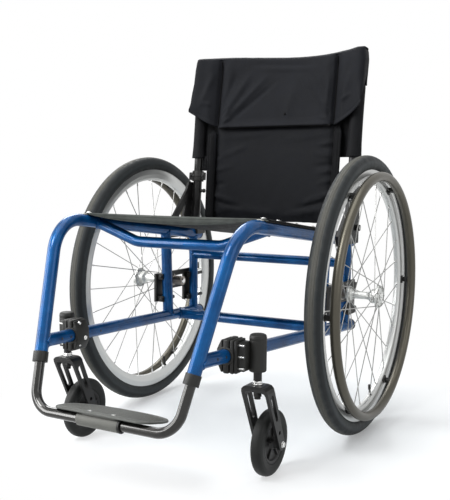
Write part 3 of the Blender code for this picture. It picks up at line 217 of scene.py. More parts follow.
def satin_black(name, base, rough, grain=900, height=0.00008):
    return grained(name, 0.28, (grain, 30), 0.35, (0.35, shade(base, 0.72)), (0.65, shade(base, 1.45, 0.001)),
                   (rough - 0.08, rough + 0.10), height)


def ribbed_grey(name, base):
    return grained(name, 0.30, (850, 26), 0.35, (0.34, shade(base, 0.8)), (0.68, shade(base, 1.2)),
                   (0.42, 0.62), 0.00010)


def gloss_tube():
    n = Nodes("footrest_gloss")
    n.set(Metallic=0.55, Specular_IOR_Level=0.35, Coat_Weight=0.6, Coat_Roughness=0.06)
    cloud = n.noise(40, 4)
    n.colour(n.ramp(cloud, (0.3, (0.009, 0.009, 0.008)), (0.7, (0.022, 0.021, 0.019))))
    n.rough(n.range(cloud, 0.18, 0.28, 0.3, 0.7))
    n.bump(n.noise(500), 0.00003, 0.5)
    return n.material


def metal(name, base, rough, metallic=0.95, streaks="X"):
    """Turned or drawn metal with fine streaks along one axis."""
    n = Nodes(name)
    n.set(Metallic=metallic)
    scale = [25 if axis == streaks else 600 for axis in "XYZ"]
    stretched = n.node("Mapping", {"Scale": scale, "Vector": n.place}).outputs["Vector"]
    streak, cloud = n.noise(1.0, 3, stretched), n.noise(18, 4)
    n.colour(n.ramp(n.blend(streak, 0.5, cloud, 0.5), (0.32, shade(base, 0.93)), (0.66, base)))
    n.rough(n.range(cloud, rough - 0.02, rough + 0.03, 0.3, 0.7))
    n.bump(streak, 0.000001, 0.12)
    return n.material


def nylon(name, base, across="Z", painted_side_shade=False):
    """Tight plain weave with faint slubs. With painted side shade on, the colour is darker beyond the pad's
    side seams: painted shade where the side strips turn away.
    """
    n = Nodes(name)
    n.set(Sheen_Weight=0.012, Sheen_Roughness=0.40, Specular_IOR_Level=0.055)
    weave = n.math("MULTIPLY", n.wave(420, "X", 0.6), n.wave(420, across, 0.6))
    slub, broad = n.noise(55, 4), n.noise(7, 3)
    mixed = n.math("ADD", n.math("MULTIPLY", weave, 0.35), n.blend(slub, 0.35, broad, 0.30))
    dye_and_side_shade = n.ramp(mixed, (0.22, shade(base, 0.62)), (0.62, shade(base, 1.55)))
    if painted_side_shade:
        # Painted shade: darker strips beyond the side seams, where the pad's side strips turn away from the
        # light.
        x, _, z = n.separate()
        slope = n.math("MULTIPLY", n.math("LESS_THAN", x, 0.0), 0.055)
        lean = n.math("MULTIPLY", n.math("SUBTRACT", z, 0.48), slope)
        beyond = n.math("SUBTRACT", n.math("SUBTRACT", n.math("ABSOLUTE", x), 0.1525), lean)
        dye_and_side_shade = n.scaled(dye_and_side_shade, n.range(beyond, 1.0, 0.40, -0.001, 0.0015))
    n.colour(dye_and_side_shade)
    n.rough(n.range(slub, 0.50, 0.66, 0.3, 0.7))
    n.bump(weave, 0.00022, 0.55, Normal=n.bump(slub, 0.0006, 0.25))
    return n.material


def banded_tyre():
    """Dusty tread, shoulders darkened with painted shade, and bluish side walls, by the angle round the
    tyre's section.
    """
    n = Nodes("tyre_grey")
    n.set(Specular_IOR_Level=0.22)
    x, y, z = n.separate()
    forward, up = n.math("SUBTRACT", y, SHIFT), n.math("SUBTRACT", z, AXLE_HEIGHT)
    radius = n.math("SQRT", n.blend(forward, forward, up, up))
    side = n.math("SUBTRACT", n.math("ABSOLUTE", x), WHEEL_X)
    angle = n.math("ARCTAN2", n.math("ABSOLUTE", side), n.math("SUBTRACT", radius, TYRE_MIDDLE))
    wear, fine = n.noise(60, 4), n.noise(700)
    turn = n.math("ADD", n.math("MULTIPLY", angle, 1 / math.pi), n.range(wear, -0.02, 0.02, 0.3, 0.7))
    # Painted shade: the darkest stops, round the shoulders, stand in for shade where the section turns away
    # from the light.
    dust_and_shoulder_shade = n.ramp(turn, (0.0, (0.062, 0.061, 0.053)), (0.08, (0.058, 0.058, 0.051)),
                  (0.15, (0.026, 0.029, 0.030)), (0.23, (0.010, 0.012, 0.013)), (0.34, (0.012, 0.014, 0.015)),
                  (0.44, (0.036, 0.041, 0.043)), (0.62, (0.032, 0.036, 0.036)), (0.70, (0.020, 0.022, 0.022)))
    n.colour(n.scaled(dust_and_shoulder_shade, n.range(n.blend(fine, 0.5, wear, 0.5), 0.78, 1.22, 0.3, 0.7)))
    n.rough(n.range(wear, 0.52, 0.74, 0.3, 0.7))
    ribs = n.math("SINE", n.math("MULTIPLY", side, 3600))
    tread = n.math("MULTIPLY", ribs, n.range(angle, 1.0, 0.0, 0.45, 0.62))
    n.bump(fine, 0.00014, 0.6, Normal=n.bump(tread, 0.00025, 0.6))
    return n.material


BLUE = paint_blue()
BLACK = satin_black("satin_black_paint", (0.006, 0.006, 0.006), 0.36)
PLASTIC = satin_black("black_plastic", (0.010, 0.010, 0.009), 0.46, 1200, 0.00014)
POST_BLACK = satin_black("post_black", (0.006, 0.006, 0.006), 0.30, 700, 0.00004)
GLOSS = gloss_tube()
SILVER = metal("turned_aluminium", (0.66, 0.67, 0.66), 0.27)
BRIGHT = metal("bright_steel", (0.74, 0.74, 0.73), 0.16)
SPOKE_STEEL = metal("spoke_steel", (0.34, 0.34, 0.33), 0.30)
RIM_SILVER = metal("rim_silver", (0.58, 0.59, 0.58), 0.34, 0.85)
HUB_SILVER = metal("hub_silver", (0.60, 0.61, 0.59), 0.40, 0.60)
SCREW_STEEL = metal("screw_steel", (0.42, 0.42, 0.41), 0.30)
BRONZE = metal("push_rim_anodised", (0.082, 0.076, 0.060), 0.36, 0.80, "Y")
RECEIVER = metal("receiver_grey", (0.24, 0.22, 0.20), 0.34)
CLOTH = nylon("black_nylon", (0.0082, 0.0088, 0.0108))
# The pad's cloth carries painted shade beyond its side seams.
PAD_CLOTH = nylon("pad_nylon", (0.0070, 0.0075, 0.0090), painted_side_shade=True)
# Near-black that is painted shade in the flap's creases and under its hem, and the stud's own black.
SHADE_AND_STUD_BLACK = nylon("crease_shade_and_stud_black", (0.0018, 0.0018, 0.0020))
CLOTH_DARK = nylon("black_nylon_deep", (0.0075, 0.0077, 0.0086))
# Painted sheen: black thread made lighter grey so that its stitches show as if they caught the light.
SHEEN_GREY_THREAD = nylon("thread_painted_sheen", (0.020, 0.020, 0.021))
SEAT_CLOTH = nylon("seat_nylon", (0.0070, 0.0070, 0.0072), "Y")
HEM_GREY = nylon("hem_webbing", (0.060, 0.065, 0.060), "Y")
TYRE = banded_tyre()
SOLID_TYRE = grained("caster_rubber", 0.20, (700, 22), 0.3, (0.33, (0.006, 0.0065, 0.0062)),
                     (0.68, (0.014, 0.015, 0.014)), (0.42, 0.62), 0.00012)
HUB_PLASTIC = satin_black("caster_hub_plastic", (0.006, 0.006, 0.006), 0.42)
PLATE_GREY = ribbed_grey("footplate_grey", (0.075, 0.078, 0.072))
SLEEVE_GREY = ribbed_grey("clamp_sleeve_grey", (0.095, 0.095, 0.085))
CREAM = ribbed_grey("cream_plug", (0.50, 0.49, 0.45))


# mesh makers

def square_to(side, way):
    return (side - side.dot(way) * way).normalized()


def along(origin, axis, towards=Y):
    """Matrix whose z runs along the axis, and whose x leans towards a direction."""
    z = axis.normalized()
    x = square_to(towards, z)
    return Matrix.Translation(origin) @ Matrix((x, z.cross(x), z)).transposed().to_4x4()


def outboard(x=0.0, centre=AXLE):
    return along(Vector((x, centre.y, centre.z)), X)


def circle(radius, count):
    angles = [step * TAU / count for step in range(count)]
    return [(radius * math.cos(angle), radius * math.sin(angle)) for angle in angles]


def rectangle(left, low, right, high):
    return [(left, low), (right, low), (right, high), (left, high)]


def smooth_profile(points, radius, closed=False, steps=3):
    """Profile with its corners rounded."""
    count = len(points)
    rounded = []
    for index, point in enumerate(points):
        if not closed and index in (0, count - 1):
            rounded.append(tuple(point))
            continue
        corner = Vector(point)
        before = Vector(points[index - 1]) - corner
        after = Vector(points[(index + 1) % count]) - corner
        reach = min(radius, before.length * 0.45, after.length * 0.45)
        start, end = corner + before.normalized() * reach, corner + after.normalized() * reach
        for share in (step / steps for step in range(steps + 1)):
            rounded.append(tuple(start.lerp(corner, share).lerp(corner.lerp(end, share), share)))
    return rounded


def join_rings(shape, rings, closed, turn=0):
    """Faces from ring to ring. A closed line joins its last ring to the first, an open one has caps."""
    count = len(rings[0])
    pairs = [(low, high, 0) for low, high in zip(rings, rings[1:])]
    if closed:
        pairs.append((rings[-1], rings[0], turn))
    for low, high, twist in pairs:
        for step in range(count):
            after = (step + 1) % count
            shape.faces.new((low[step], low[after], high[(after + twist) % count],
                             high[(step + twist) % count]))
    if not closed:
        shape.faces.new(rings[0][::-1])
        shape.faces.new(rings[-1])


def lathe(profile, segments, matrix, closed=False):
    shape = bmesh.new()
    rings = [[shape.verts.new((x, y, height)) for x, y in circle(radius, segments)]
             for radius, height in profile]
    join_rings(shape, rings, closed)
    bmesh.ops.transform(shape, matrix=matrix, verts=shape.verts)
    return shape


def turned(profile, rounding, segments, matrix):
    """Solid of revolution from a profile whose corners are rounded."""
    return lathe(smooth_profile(profile, rounding), segments, matrix)


def ring(profile, rounding, segments, matrix, steps=3):
    """Hollow solid of revolution from a closed profile whose corners are rounded."""
    return lathe(smooth_profile(profile, rounding, True, steps), segments, matrix, True)


def head(point, axis, segments, *profile):
    """Small turned piece standing on a point."""
    return lathe(profile, segments, along(point, axis))


def sweep(points, radius, sides, closed=False):
    """Round tube along a centre line."""
    shape = bmesh.new()
    reference = Z if abs((points[1] - points[0]).normalized().z) < 0.9 else Y
    rings = []
    last = len(points) - 1
    for index, point in enumerate(points):
        before = points[index - 1] if index or closed else points[0]
        after = points[(index + 1) % len(points)] if index < last or closed else points[last]
        matrix = along(point, after - before, reference)
        reference = matrix.to_3x3().col[0]
        rings.append([shape.verts.new(matrix @ Vector((x, y, 0))) for x, y in circle(radius, sides)])
    turn = min(range(sides), key=lambda k: (rings[0][k].co - rings[-1][0].co).length) if closed else 0
    join_rings(shape, rings, closed, turn)
    return shape


def rod(start, end, radius, sides, edge=0.0):
    """Round bar, with its ends rounded off by an edge."""
    length = (end - start).length
    if not edge:
        return head(start, end - start, sides, (radius, 0), (radius, length))
    return head(start, end - start, sides, (radius - edge, 0), (radius - edge * 0.3, edge * 0.3),
                (radius, edge), (radius, length - edge), (radius - edge * 0.3, length - edge * 0.3),
                (radius - edge, length))


def bent_line(corners, radius, steps):
    """Line through corners, with a bend of the radius in place of each."""
    points = [corners[0]]
    for before, corner, after in zip(corners, corners[1:], corners[2:]):
        back = (before - corner).normalized()
        onward = (after - corner).normalized()
        half = back.angle(onward) / 2
        setback = radius / math.tan(half)
        centre = corner + (back + onward).normalized() * radius / math.sin(half)
        start = (corner + back * setback - centre).normalized()
        end = (corner + onward * setback - centre).normalized()
        points += [centre + start.slerp(end, step / steps) * radius for step in range(steps + 1)]
    return points + [corners[-1]]


def plate(outline, matrix, low, high, edge, segments=2):
    """Flat outline extruded from low to high, with its edges rounded."""
    shape = bmesh.new()
    bottom = shape.faces.new([shape.verts.new((x, y, low)) for x, y in outline])
    made = bmesh.ops.extrude_face_region(shape, geom=[bottom])
    top = [item for item in made["geom"] if isinstance(item, bmesh.types.BMVert)]
    bmesh.ops.translate(shape, verts=top, vec=(0, 0, high - low))
    bmesh.ops.recalc_face_normals(shape, faces=shape.faces)
    sharp = [item for item in shape.edges if item.calc_face_angle(0) > math.radians(30)]
    bmesh.ops.bevel(shape, geom=sharp, offset=edge, segments=segments, affect="EDGES", profile=0.5,
                    clamp_overlap=True)
    bmesh.ops.transform(shape, matrix=matrix, verts=shape.verts)
    return shape


def block(low, high, edge, matrix):
    return plate(rectangle(low[0], low[1], high[0], high[1]), matrix, low[2], high[2], edge)


def hexagon(centre, axis, across, height, towards=Y, edge=0.0006):
    """Hexagon head or nut standing on a point."""
    return plate(circle(across / math.sqrt(3), 6), along(centre, axis, towards), 0, height, edge)


def grid(rows, shape=None):
    """Sheet of faces over rows of points, as a new shape, or as rows of vertices in a shape."""
    whole = shape or bmesh.new()
    verts = [[whole.verts.new(point) for point in row] for row in rows]
    for low, high in zip(verts, verts[1:]):
        for index in range(len(low) - 1):
            whole.faces.new((low[index], low[index + 1], high[index + 1], high[index]))
    return verts if shape else whole


def merge(*shapes):
    whole = bmesh.new()
    for shape in shapes:
        mesh = bpy.data.meshes.new("merging")
        shape.to_mesh(mesh)
        shape.free()
        whole.from_mesh(mesh)
        bpy.data.meshes.remove(mesh)
    return whole


def add(name, shape, material, body, replaces=(), sharp=38):
    """Piece from a shape in chair coordinates, riding on a body."""
    bmesh.ops.translate(shape, verts=shape.verts, vec=(0, SHIFT, 0))
    bmesh.ops.recalc_face_normals(shape, faces=shape.faces)
    mesh = bpy.data.meshes.new(name)
    shape.to_mesh(mesh)
    shape.free()
    mesh.shade_smooth()
    mesh.set_sharp_from_angle(angle=math.radians(sharp))
    mesh.materials.append(material)
    obj = bpy.data.objects.new(name, mesh)
    bpy.context.scene.collection.objects.link(obj)
    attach(obj, body)
    if replaces:
        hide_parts(*replaces)
    return obj


def add_pair(name, build, material, body, slot, node=None, sharp=38):
    """The piece on both sides, in place of the node on each. A body ending in _ gets the side added."""
    made = []
    for side in ("left", "right"):
        shape = build()
        if side == "right":
            bmesh.ops.scale(shape, verts=shape.verts, vec=(-1, 1, 1))
        rides = body + side if body.endswith("_") else body
        replaces = [f"{node}_{side}"] if node else ()
        made.append(add(f"{name}_{side}", shape, material, rides, replaces, sharp))
    return made


def add_pairs(body, *rows):
    """Pieces on both sides. A row with a slot is a trim, and one without takes its node's place."""
    for name, build, material, *slot in rows:
        if slot:
            add_pair(name, build, material, body, *slot)
        else:
            add_pair(f"{name}_skin", build, material, body, name, name)


# frame tubes

def weld_bead(line, radius, other, other_radius):
    """Bead round the start of a tube, where it meets another tube."""
    axis = direction(line)
    matrix = along(line[0], axis, Z if abs(axis.z) < 0.9 else Y)
    base, way = other[0], direction(other)
    points = []
    for step in range(56):
        angle = step * TAU / 56
        origin = matrix @ Vector((radius * math.cos(angle), radius * math.sin(angle), 0))
        relative = origin - base
        across = relative - relative.dot(way) * way
        lean = axis - axis.dot(way) * way
        a, b = lean.dot(lean), 2 * across.dot(lean)
        c = across.dot(across) - other_radius ** 2
        distance = (-b + math.sqrt(max(b * b - 4 * a * c, 0.0))) / (2 * a)
        ripple = 0.0003 * math.sin(step * TAU / 4.0)
        outward = matrix.to_3x3() @ Vector((math.cos(angle), math.sin(angle), 0))
        points.append(origin + axis * (distance + 0.0003) + outward * (0.0002 + ripple))
    return sweep(points, 0.0021, 8, True)


def main_tube():
    corners = [at(DOWN_TUBE, 2, DOWN_TUBE_END), SEAT_CORNER, SEAT_REAR]
    return sweep(bent_line(corners, 0.088, 26), FRAME_TUBE, 48)


def rail_plug():
    profile = [(0.0125, -0.001), (0.0135, 0.0), (0.0135, 0.002), (0.008, 0.0032)]
    return turned(profile, 0.0008, 40, along(SEAT_REAR, direction(RAIL)))


def lower_plug():
    profile = [(0.0120, -0.001), (0.0137, 0.0), (0.0137, 0.0035), (0.0095, 0.0062), (0.002, 0.0070)]
    way = direction(LOWER_TUBE)
    return turned(profile, 0.001, 40, along(LOWER_TUBE[1] - way * 0.004, way))


def front_cross_line():
    rail, bend = at(RAIL, 1, -0.315), Vector((0.100, -0.315, 0.427))
    return bent_line([mirrored(rail), mirrored(bend), bend, rail], 0.060, 14)


FRONT_CROSS = front_cross_line()
UPPER_END = at(REAR_UPRIGHT, 2, 0.364)
LOWER_END = at(LOWER_TUBE, 1, 0.010)


def welds():
    rows = ((LOWER_TUBE, FRAME_TUBE, DOWN_TUBE, FRAME_TUBE),
            (FRONT_UPRIGHT, FRAME_TUBE, LOWER_TUBE, FRAME_TUBE),
            (FRONT_UPRIGHT[::-1], FRAME_TUBE, RAIL, FRAME_TUBE),
            (REAR_UPRIGHT, REAR_TUBE, LOWER_TUBE, FRAME_TUBE),
            (REAR_UPRIGHT[::-1], REAR_TUBE, RAIL, FRAME_TUBE),
            (FRONT_CROSS[:-3:-1], REAR_TUBE, RAIL, FRAME_TUBE),
            ((UPPER_END, mirrored(UPPER_END)), REAR_TUBE, REAR_UPRIGHT, REAR_TUBE),
            ((LOWER_END, mirrored(LOWER_END)), FRAME_TUBE, LOWER_TUBE, FRAME_TUBE))
    return merge(*[weld_bead(*row) for row in rows])


def tube_dots(line, axis, values, side, size, proud, sides=16):
    """Small round heads on a frame tube's surface, and flat dark discs where it has holes, painted shade for
    the holes' shaded insides.
    """
    outward = square_to(Vector(side), direction(line))
    shapes = []
    for value in values:
        centre = at(line, axis, value)
        start, end = centre + outward * (FRAME_TUBE - 0.0015), centre + outward * (FRAME_TUBE + proud)
        shapes.append(rod(start, end, size, sides, min(size, proud + 0.0015) * 0.35))
    return merge(*shapes)


# Dark discs as painted shade in the down tube's holes.
def down_tube_hole_shade():
    return tube_dots(DOWN_TUBE, 2, [0.262, 0.274, 0.286, 0.298, 0.310, 0.322], (-0.35, 1, 0), 0.0026, 0.0002)


def down_tube_button():
    return tube_dots(DOWN_TUBE, 2, [0.3300], (0.25, 1, 0), 0.0036, 0.0022, 24)


# Dark discs as painted shade in the lower tube's holes.
def lower_tube_hole_shade():
    return merge(tube_dots(LOWER_TUBE, 1, [-0.480, -0.452], (0.9, -0.2, 0.1), 0.0028, 0.0002),
                 tube_dots(LOWER_TUBE, 1, [-0.480, -0.452, -0.350], (-0.9, -0.2, 0.0), 0.0028, 0.0002))


add_pairs("frame", ("main_tube", main_tube, BLUE), ("rail_end_plug", rail_plug, PLASTIC, "footrest_collar"),
          ("lower_side_tube", lambda: sweep(LOWER_TUBE, FRAME_TUBE, 48), BLUE),
          ("lower_tube_plug", lower_plug, PLASTIC, "footrest_collar"),
          ("front_upright", lambda: sweep(FRONT_UPRIGHT, FRAME_TUBE, 48), BLUE),
          ("rear_upright", lambda: sweep(REAR_UPRIGHT, REAR_TUBE, 48), BLUE))
for stem, line, radius, sides in (
        ("front_cross_tube", FRONT_CROSS, REAR_TUBE, 44),
        ("rear_upper_cross_tube", (mirrored(UPPER_END), UPPER_END), REAR_TUBE, 48),
        ("rear_lower_cross_tube", (mirrored(LOWER_END), LOWER_END), FRAME_TUBE, 48)):
    add(f"{stem}_skin", sweep(line, radius, sides), BLUE, "frame", [stem])
add_pairs("frame", ("frame_welds", welds, BLUE, "main_tube"),
          ("down_tube_hole_shade", down_tube_hole_shade, HUB_PLASTIC, "footrest_collar"),
          ("down_tube_button", down_tube_button, BRIGHT, "caster_spacer"),
          ("lower_tube_hole_shade", lower_tube_hole_shade, HUB_PLASTIC, "footrest_collar"))


# footrest

SLEEVE_BORE = FOOTREST_TUBE + 0.0002
PLATE_FRAME = Matrix.Translation(FOOTREST_AXIS) @ Matrix.Rotation(-math.radians(11.3), 4, "X")
PLATE_LOW, PLATE_HIGH = 0.0118, 0.0163
PLATE_HALF = [(0.0, -0.0153), (0.060, -0.0153), (0.088, -0.0150), (0.102, -0.003), (0.109, 0.022),
              (0.110, 0.036), (0.106, 0.054), (0.090, 0.0717), (0.0605, 0.0837), (0.0275, 0.0885),
              (0.0, 0.0887)]


def footrest_collar():
    bore, inner = FOOTREST_TUBE + 0.0003, FRAME_TUBE + 0.0002
    outer = inner + 0.0014
    way = direction(DOWN_TUBE)
    profile = [(bore, -0.0033), (outer, -0.0033), (outer, 0.0165), (inner, 0.0165), (inner, -0.0003),
               (bore, -0.0003)]
    body = ring(profile, 0.0006, 56, along(at(DOWN_TUBE, 2, DOWN_TUBE_END), way))
    centre, outward = at(DOWN_TUBE, 2, 0.2215), square_to(Vector((0.25, 1, 0)), way)
    screw = rod(centre + outward * (outer - 0.001), centre + outward * (outer + 0.0012), 0.0030, 20, 0.0006)
    return merge(body, screw)


def footrest_tube():
    leg_top = at(DOWN_TUBE, 2, 0.262)
    corners = [mirrored(leg_top), mirrored(FOOTREST_CORNER), FOOTREST_CORNER, leg_top]
    return sweep(bent_line(corners, 0.045, 22), FOOTREST_TUBE, 44)


def spline(points, steps):
    """Smooth line through points."""
    line = []
    for index in range(len(points) - 1):
        p0 = Vector(points[max(index - 1, 0)])
        p1, p2 = Vector(points[index]), Vector(points[index + 1])
        p3 = Vector(points[min(index + 2, len(points) - 1)])
        for t in (step / steps for step in range(steps)):
            line.append(0.5 * ((2 * p1) + (p2 - p0) * t + (2 * p0 - 5 * p1 + 4 * p2 - p3) * t * t
                               + (3 * p1 - p0 - 3 * p2 + p3) * t ** 3))
    return line + [Vector(points[-1])]


def footplate():
    """Plate with a rounded rim, a thin lip and fine ribs across its tread."""
    half = spline(PLATE_HALF, 6)
    outline = [(p.x, p.y) for p in half] + [(-p.x, p.y) for p in reversed(half[1:-1])]
    shapes = [plate(outline, PLATE_FRAME, PLATE_LOW, PLATE_HIGH - 0.0008, 0.0011, 3)]
    y = 0.004
    bars = [(0.084, -0.0135, -0.0060)]
    while y < 0.080:
        bars.append((0.101 if y < 0.052 else 0.101 - (y - 0.052) * 2.3, y, y + 0.0022))
        y += 0.0064
    for width, front, back in bars:
        low, high = (-width, front, PLATE_HIGH - 0.0012), (width, back, PLATE_HIGH)
        shapes.append(block(low, high, 0.0005, PLATE_FRAME))
    return merge(*shapes)


def footplate_clamp():
    body = ring(rectangle(SLEEVE_BORE, -0.0475, 0.0130, 0.0430), 0.0007, 56, outboard(0, FOOTREST_AXIS))
    saddle = plate(rectangle(-0.036, -0.0095, 0.036, 0.0095), PLATE_FRAME, 0.008, PLATE_LOW, 0.0006)
    return merge(body, saddle)


def clamp_ring():
    return ring(rectangle(SLEEVE_BORE, 0.0432, 0.0134, 0.0475), 0.0005, 56, outboard(0, FOOTREST_AXIS))


def plate_screws():
    up = PLATE_FRAME.to_3x3() @ Z
    return merge(*[head(PLATE_FRAME @ Vector((x, 0.0, PLATE_HIGH - 0.0006)), up, 24, (0.0042, -0.001),
                        (0.0042, 0.0004), (0.0034, 0.0012), (0.0012, 0.0014)) for x in (-0.026, 0.026)])


add_pairs("frame", ("footrest_collar", footrest_collar, PLASTIC))
add("footrest_tube_skin", footrest_tube(), GLOSS, "frame", ["footrest_tube"])
add("footplate_skin", footplate(), PLATE_GREY, "foot_support", ["footplate"])
add("footplate_clamp_skin", footplate_clamp(), SLEEVE_GREY, "foot_support",
    ["footplate_clamp"])
add("footplate_clamp_ring", clamp_ring(), PLASTIC, "foot_support")
add("footplate_screws", plate_screws(), SCREW_STEEL, "foot_support")


# casters

STEM = along(CASTER_STEM, Z)
FORK_TOP = 0.1755 - 0.0003
CASTER_WHEEL = outboard(CASTER_X, CASTER_AXLE)
CLAMP_Y = -0.4185
CLAMPED = at(LOWER_TUBE, 1, CLAMP_Y)

# Upper corners across the chair and up from the tube's middle, half depth and rounding of each slice
CLAMP_JAWS = [
    ([(-0.0187, 0.0120), (-0.0105, 0.0290), (-0.0072, 0.0300)], 0.0185, 0.0020),
    ([(-0.0054, 0.0312), (0.0062, 0.0312)], 0.0205, 0.0030),
    ([(0.0080, 0.0300), (0.0150, 0.0312)], 0.0195, 0.0022),
    ([(-0.0120, 0.0255), (0.0135, 0.0265)], 0.0150, 0.0010),
]


def caster_housing():
    bore = 0.00815
    profile = [(bore, 0.2127), (bore, 0.2120), (0.0148, 0.2120), (0.0160, 0.2135), (0.0160, 0.2685),
               (0.01565, 0.2690), (0.01565, 0.2700), (0.0160, 0.2705), (0.0160, 0.2745), (0.0148, 0.2788),
               (0.0118, 0.2806), (0.004, 0.2810)]
    return turned(profile, 0.0008, 56, STEM)


def caster_stem():
    top = FORK_TOP
    return merge(lathe([(0.00775, 0.1951), (0.00775, 0.268)], 40, STEM),
                 lathe([(0.006, 0.163), (0.006, 0.1951)], 32, STEM),
                 lathe([(0.006, top - 0.0145), (0.006, top - 0.0105)], 32, STEM),
                 hexagon(CASTER_STEM + Z * (top - 0.0095), Z, 0.0145, 0.0078, X),
                 turned(rectangle(0.001, top - 0.0018, 0.0084, top), 0.0004, 40, STEM),
                 lathe([(0.0035, top - 0.0142), (0.0050, top - 0.0130), (0.0052, top - 0.009)], 32, STEM))


def caster_spacer():
    return merge(ring(rectangle(0.0063, 0.1873, 0.0095, 0.1905), 0.0005, 40, STEM),
                 hexagon(CASTER_STEM + Z * 0.1906, Z, 0.0163, 0.0041, X))


def caster_bolt():
    reach = 0.0273
    shapes = [rod(CASTER_AXLE - X * reach, CASTER_AXLE + X * reach, 0.004, 28)]
    for sign in (-1, 1):
        face = along(CASTER_AXLE + X * (reach * sign), X * sign)
        shapes.append(lathe([(0.0062, 0.0), (0.0062, 0.0008), (0.0058, 0.0010)], 36, face))
        shapes.append(turned([(0.0050, 0.0009), (0.0050, 0.0038), (0.0036, 0.0042), (0.0024, 0.0042),
                              (0.0024, 0.0020), (0.0004, 0.0020)], 0.0004, 36, face))
    return merge(*shapes)


def caster_hub():
    """Moulded wheel body: rim, recessed web with five ribs on each side, and a bearing boss."""
    half = [(0.0044, 0.0207), (0.0085, 0.0207), (0.0095, 0.0125), (0.0150, 0.0060), (0.0315, 0.0055),
            (0.0340, 0.0090), (0.0395, 0.01025)]
    shapes = [ring([(r, -h) for r, h in half] + half[::-1], 0.0010, 64, CASTER_WHEEL, 2)]
    for low, high in ((-0.0092, -0.0050), (0.0050, 0.0092)):
        for index in range(5):
            matrix = CASTER_WHEEL @ Matrix.Rotation(index * TAU / 5 + 0.3, 4, "Z")
            shapes.append(block((0.009, -0.0016, low), (0.034, 0.0016, high), 0.0006, matrix))
    return merge(*shapes)


def caster_bearings():
    return merge(*[ring(rectangle(0.0044, 0.0, 0.0066, 0.0004), 0.0001, 36,
                        along(CASTER_AXLE + X * (0.0205 * side), X * side)) for side in (-1, 1)])


def caster_tyre():
    half = [(0.0398, 0.0103), (0.0440, 0.0113), (0.0525, 0.01225), (0.0580, 0.0110), (0.0615, 0.0086),
            (0.0632, 0.0050), (0.0635, 0.0)]
    return ring([(r, -h) for r, h in half] + half[-2::-1], 0.0012, 96, CASTER_WHEEL, 2)


def caster_clamp():
    """Two jaws round the lower tube, parted by grooves, and a seat for the housing."""
    tube = CLAMPED
    matrix = along(Vector((0, CLAMP_Y, 0)), -Y, X)
    shapes = []
    for corners, depth, bevel in CLAMP_JAWS:
        upper = [(tube.x + x, tube.z + z) for x, z in corners]
        lower = [(tube.x + x, tube.z - z) for x, z in reversed(corners)]
        shapes.append(plate(upper + lower, matrix, -depth, depth, bevel, 3))
    seat = rectangle(tube.x + 0.0158, tube.z - 0.030, tube.x + 0.0215, tube.z + 0.030)
    web = rectangle(tube.x + 0.0100, tube.z - 0.026, 0.2119, tube.z + 0.026)
    collar = [(0.0128, -0.0212), (0.0160, -0.0212), (0.0172, -0.0195), (0.0172, 0.0195), (0.0160, 0.0212),
              (0.0128, 0.0212)]
    return merge(*shapes, plate(seat, matrix, -0.0175, 0.0175, 0.0016),
                 plate(web, matrix, -0.0165, 0.0120, 0.0012),
                 ring(collar, 0.0008, 56, along(tube, direction(LOWER_TUBE))))


def clamp_studs():
    """Threads that show between the clamp and the housing."""
    shapes = []
    for z in (CLAMPED.z + 0.021, CLAMPED.z, CLAMPED.z - 0.021):
        centre = Vector((0.2085, -0.4355, z))
        shapes.append(rod(centre, centre + Vector((0, -0.0035, 0)), 0.0026, 20, 0.0006))
        shapes.append(rod(Vector((CLAMPED.x + 0.0215, -0.4290, z)), Vector((0.2120, -0.4290, z)), 0.0022, 16))
    return merge(*shapes)


def clamp_bolts():
    """Heads on the inner jaw."""
    return merge(*[head(Vector((CLAMPED.x - x, y, z)), -X, 28, (size * 1.05, -0.003), (size * 1.05, 0.0),
                        (size * 0.85, 0.0016), (size * 0.3, 0.0018))
                   for x, y, z, size in ((0.0135, -0.4237, 0.2666, 0.0032), (0.0178, -0.4119, 0.2359, 0.0050),
                                         (0.0135, -0.4246, 0.2227, 0.0032))])


add_pairs("frame", ("caster_clamp", caster_clamp, PLASTIC),
          ("caster_clamp_bolts", clamp_bolts, BRIGHT, "caster_spacer"),
          ("caster_clamp_studs", clamp_studs, SCREW_STEEL, "caster_spacer"),
          ("caster_housing", caster_housing, PLASTIC))
add_pairs("caster_", ("caster_stem", caster_stem, BLACK), ("caster_spacer", caster_spacer, BRIGHT))
add_pair("caster_bolt_skin", caster_bolt, BRIGHT, "caster_", "caster_axle_bolt", "caster_axle_bolt")
add_pairs("caster_wheel_", ("caster_hub", caster_hub, HUB_PLASTIC),
          ("caster_bearings", caster_bearings, SILVER, "caster_spacer"),
          ("caster_tyre", caster_tyre, SOLID_TYRE))


# rear wheels

WHEEL = outboard(WHEEL_X)
TYRE_GROOVES = ((0, 0.0006, 2.2), (17, 0.0007, 2.6), (33, 0.0005, 2.4), (98, 0.0004, 2.4))
SPOKE_COUNT, CROSSINGS, SPOKE_REACH = 14, 3, 0.2478
FLANGES = ((WHEEL_X + 0.0345, 0.0245, 0.0), (WHEEL_X - 0.0325, 0.0185, math.pi / SPOKE_COUNT))
AXLE_BORE, HUB_INNER, HUB_OUTER = 0.00675, 0.036, 0.038
AXLE_HEAD = WHEEL_X + HUB_OUTER + 0.0003
AXLE_END = AXLE_HEAD + 0.0025


def wheel_at(degrees):
    return WHEEL @ Matrix.Rotation(math.radians(degrees), 4, "Z")


TABS = [wheel_at(2 + 60 * index) for index in range(6)]


def rear_tyre():
    """Round section with three grooves round its tread and a bead line on each side."""
    profile = []
    for step in range(61):
        angle = math.radians(-133 + step * 266 / 60)
        reach = TYRE_SECTION
        for groove, depth, width in TYRE_GROOVES:
            reach -= depth * max(0.0, 1 - ((abs(math.degrees(angle)) - groove) / width) ** 2)
        profile.append((TYRE_MIDDLE + reach * math.cos(angle), reach * math.sin(angle)))
    return lathe(profile + [(0.2743, 0.0105), (0.2743, -0.0105)], WHEEL_STEPS, WHEEL, True)


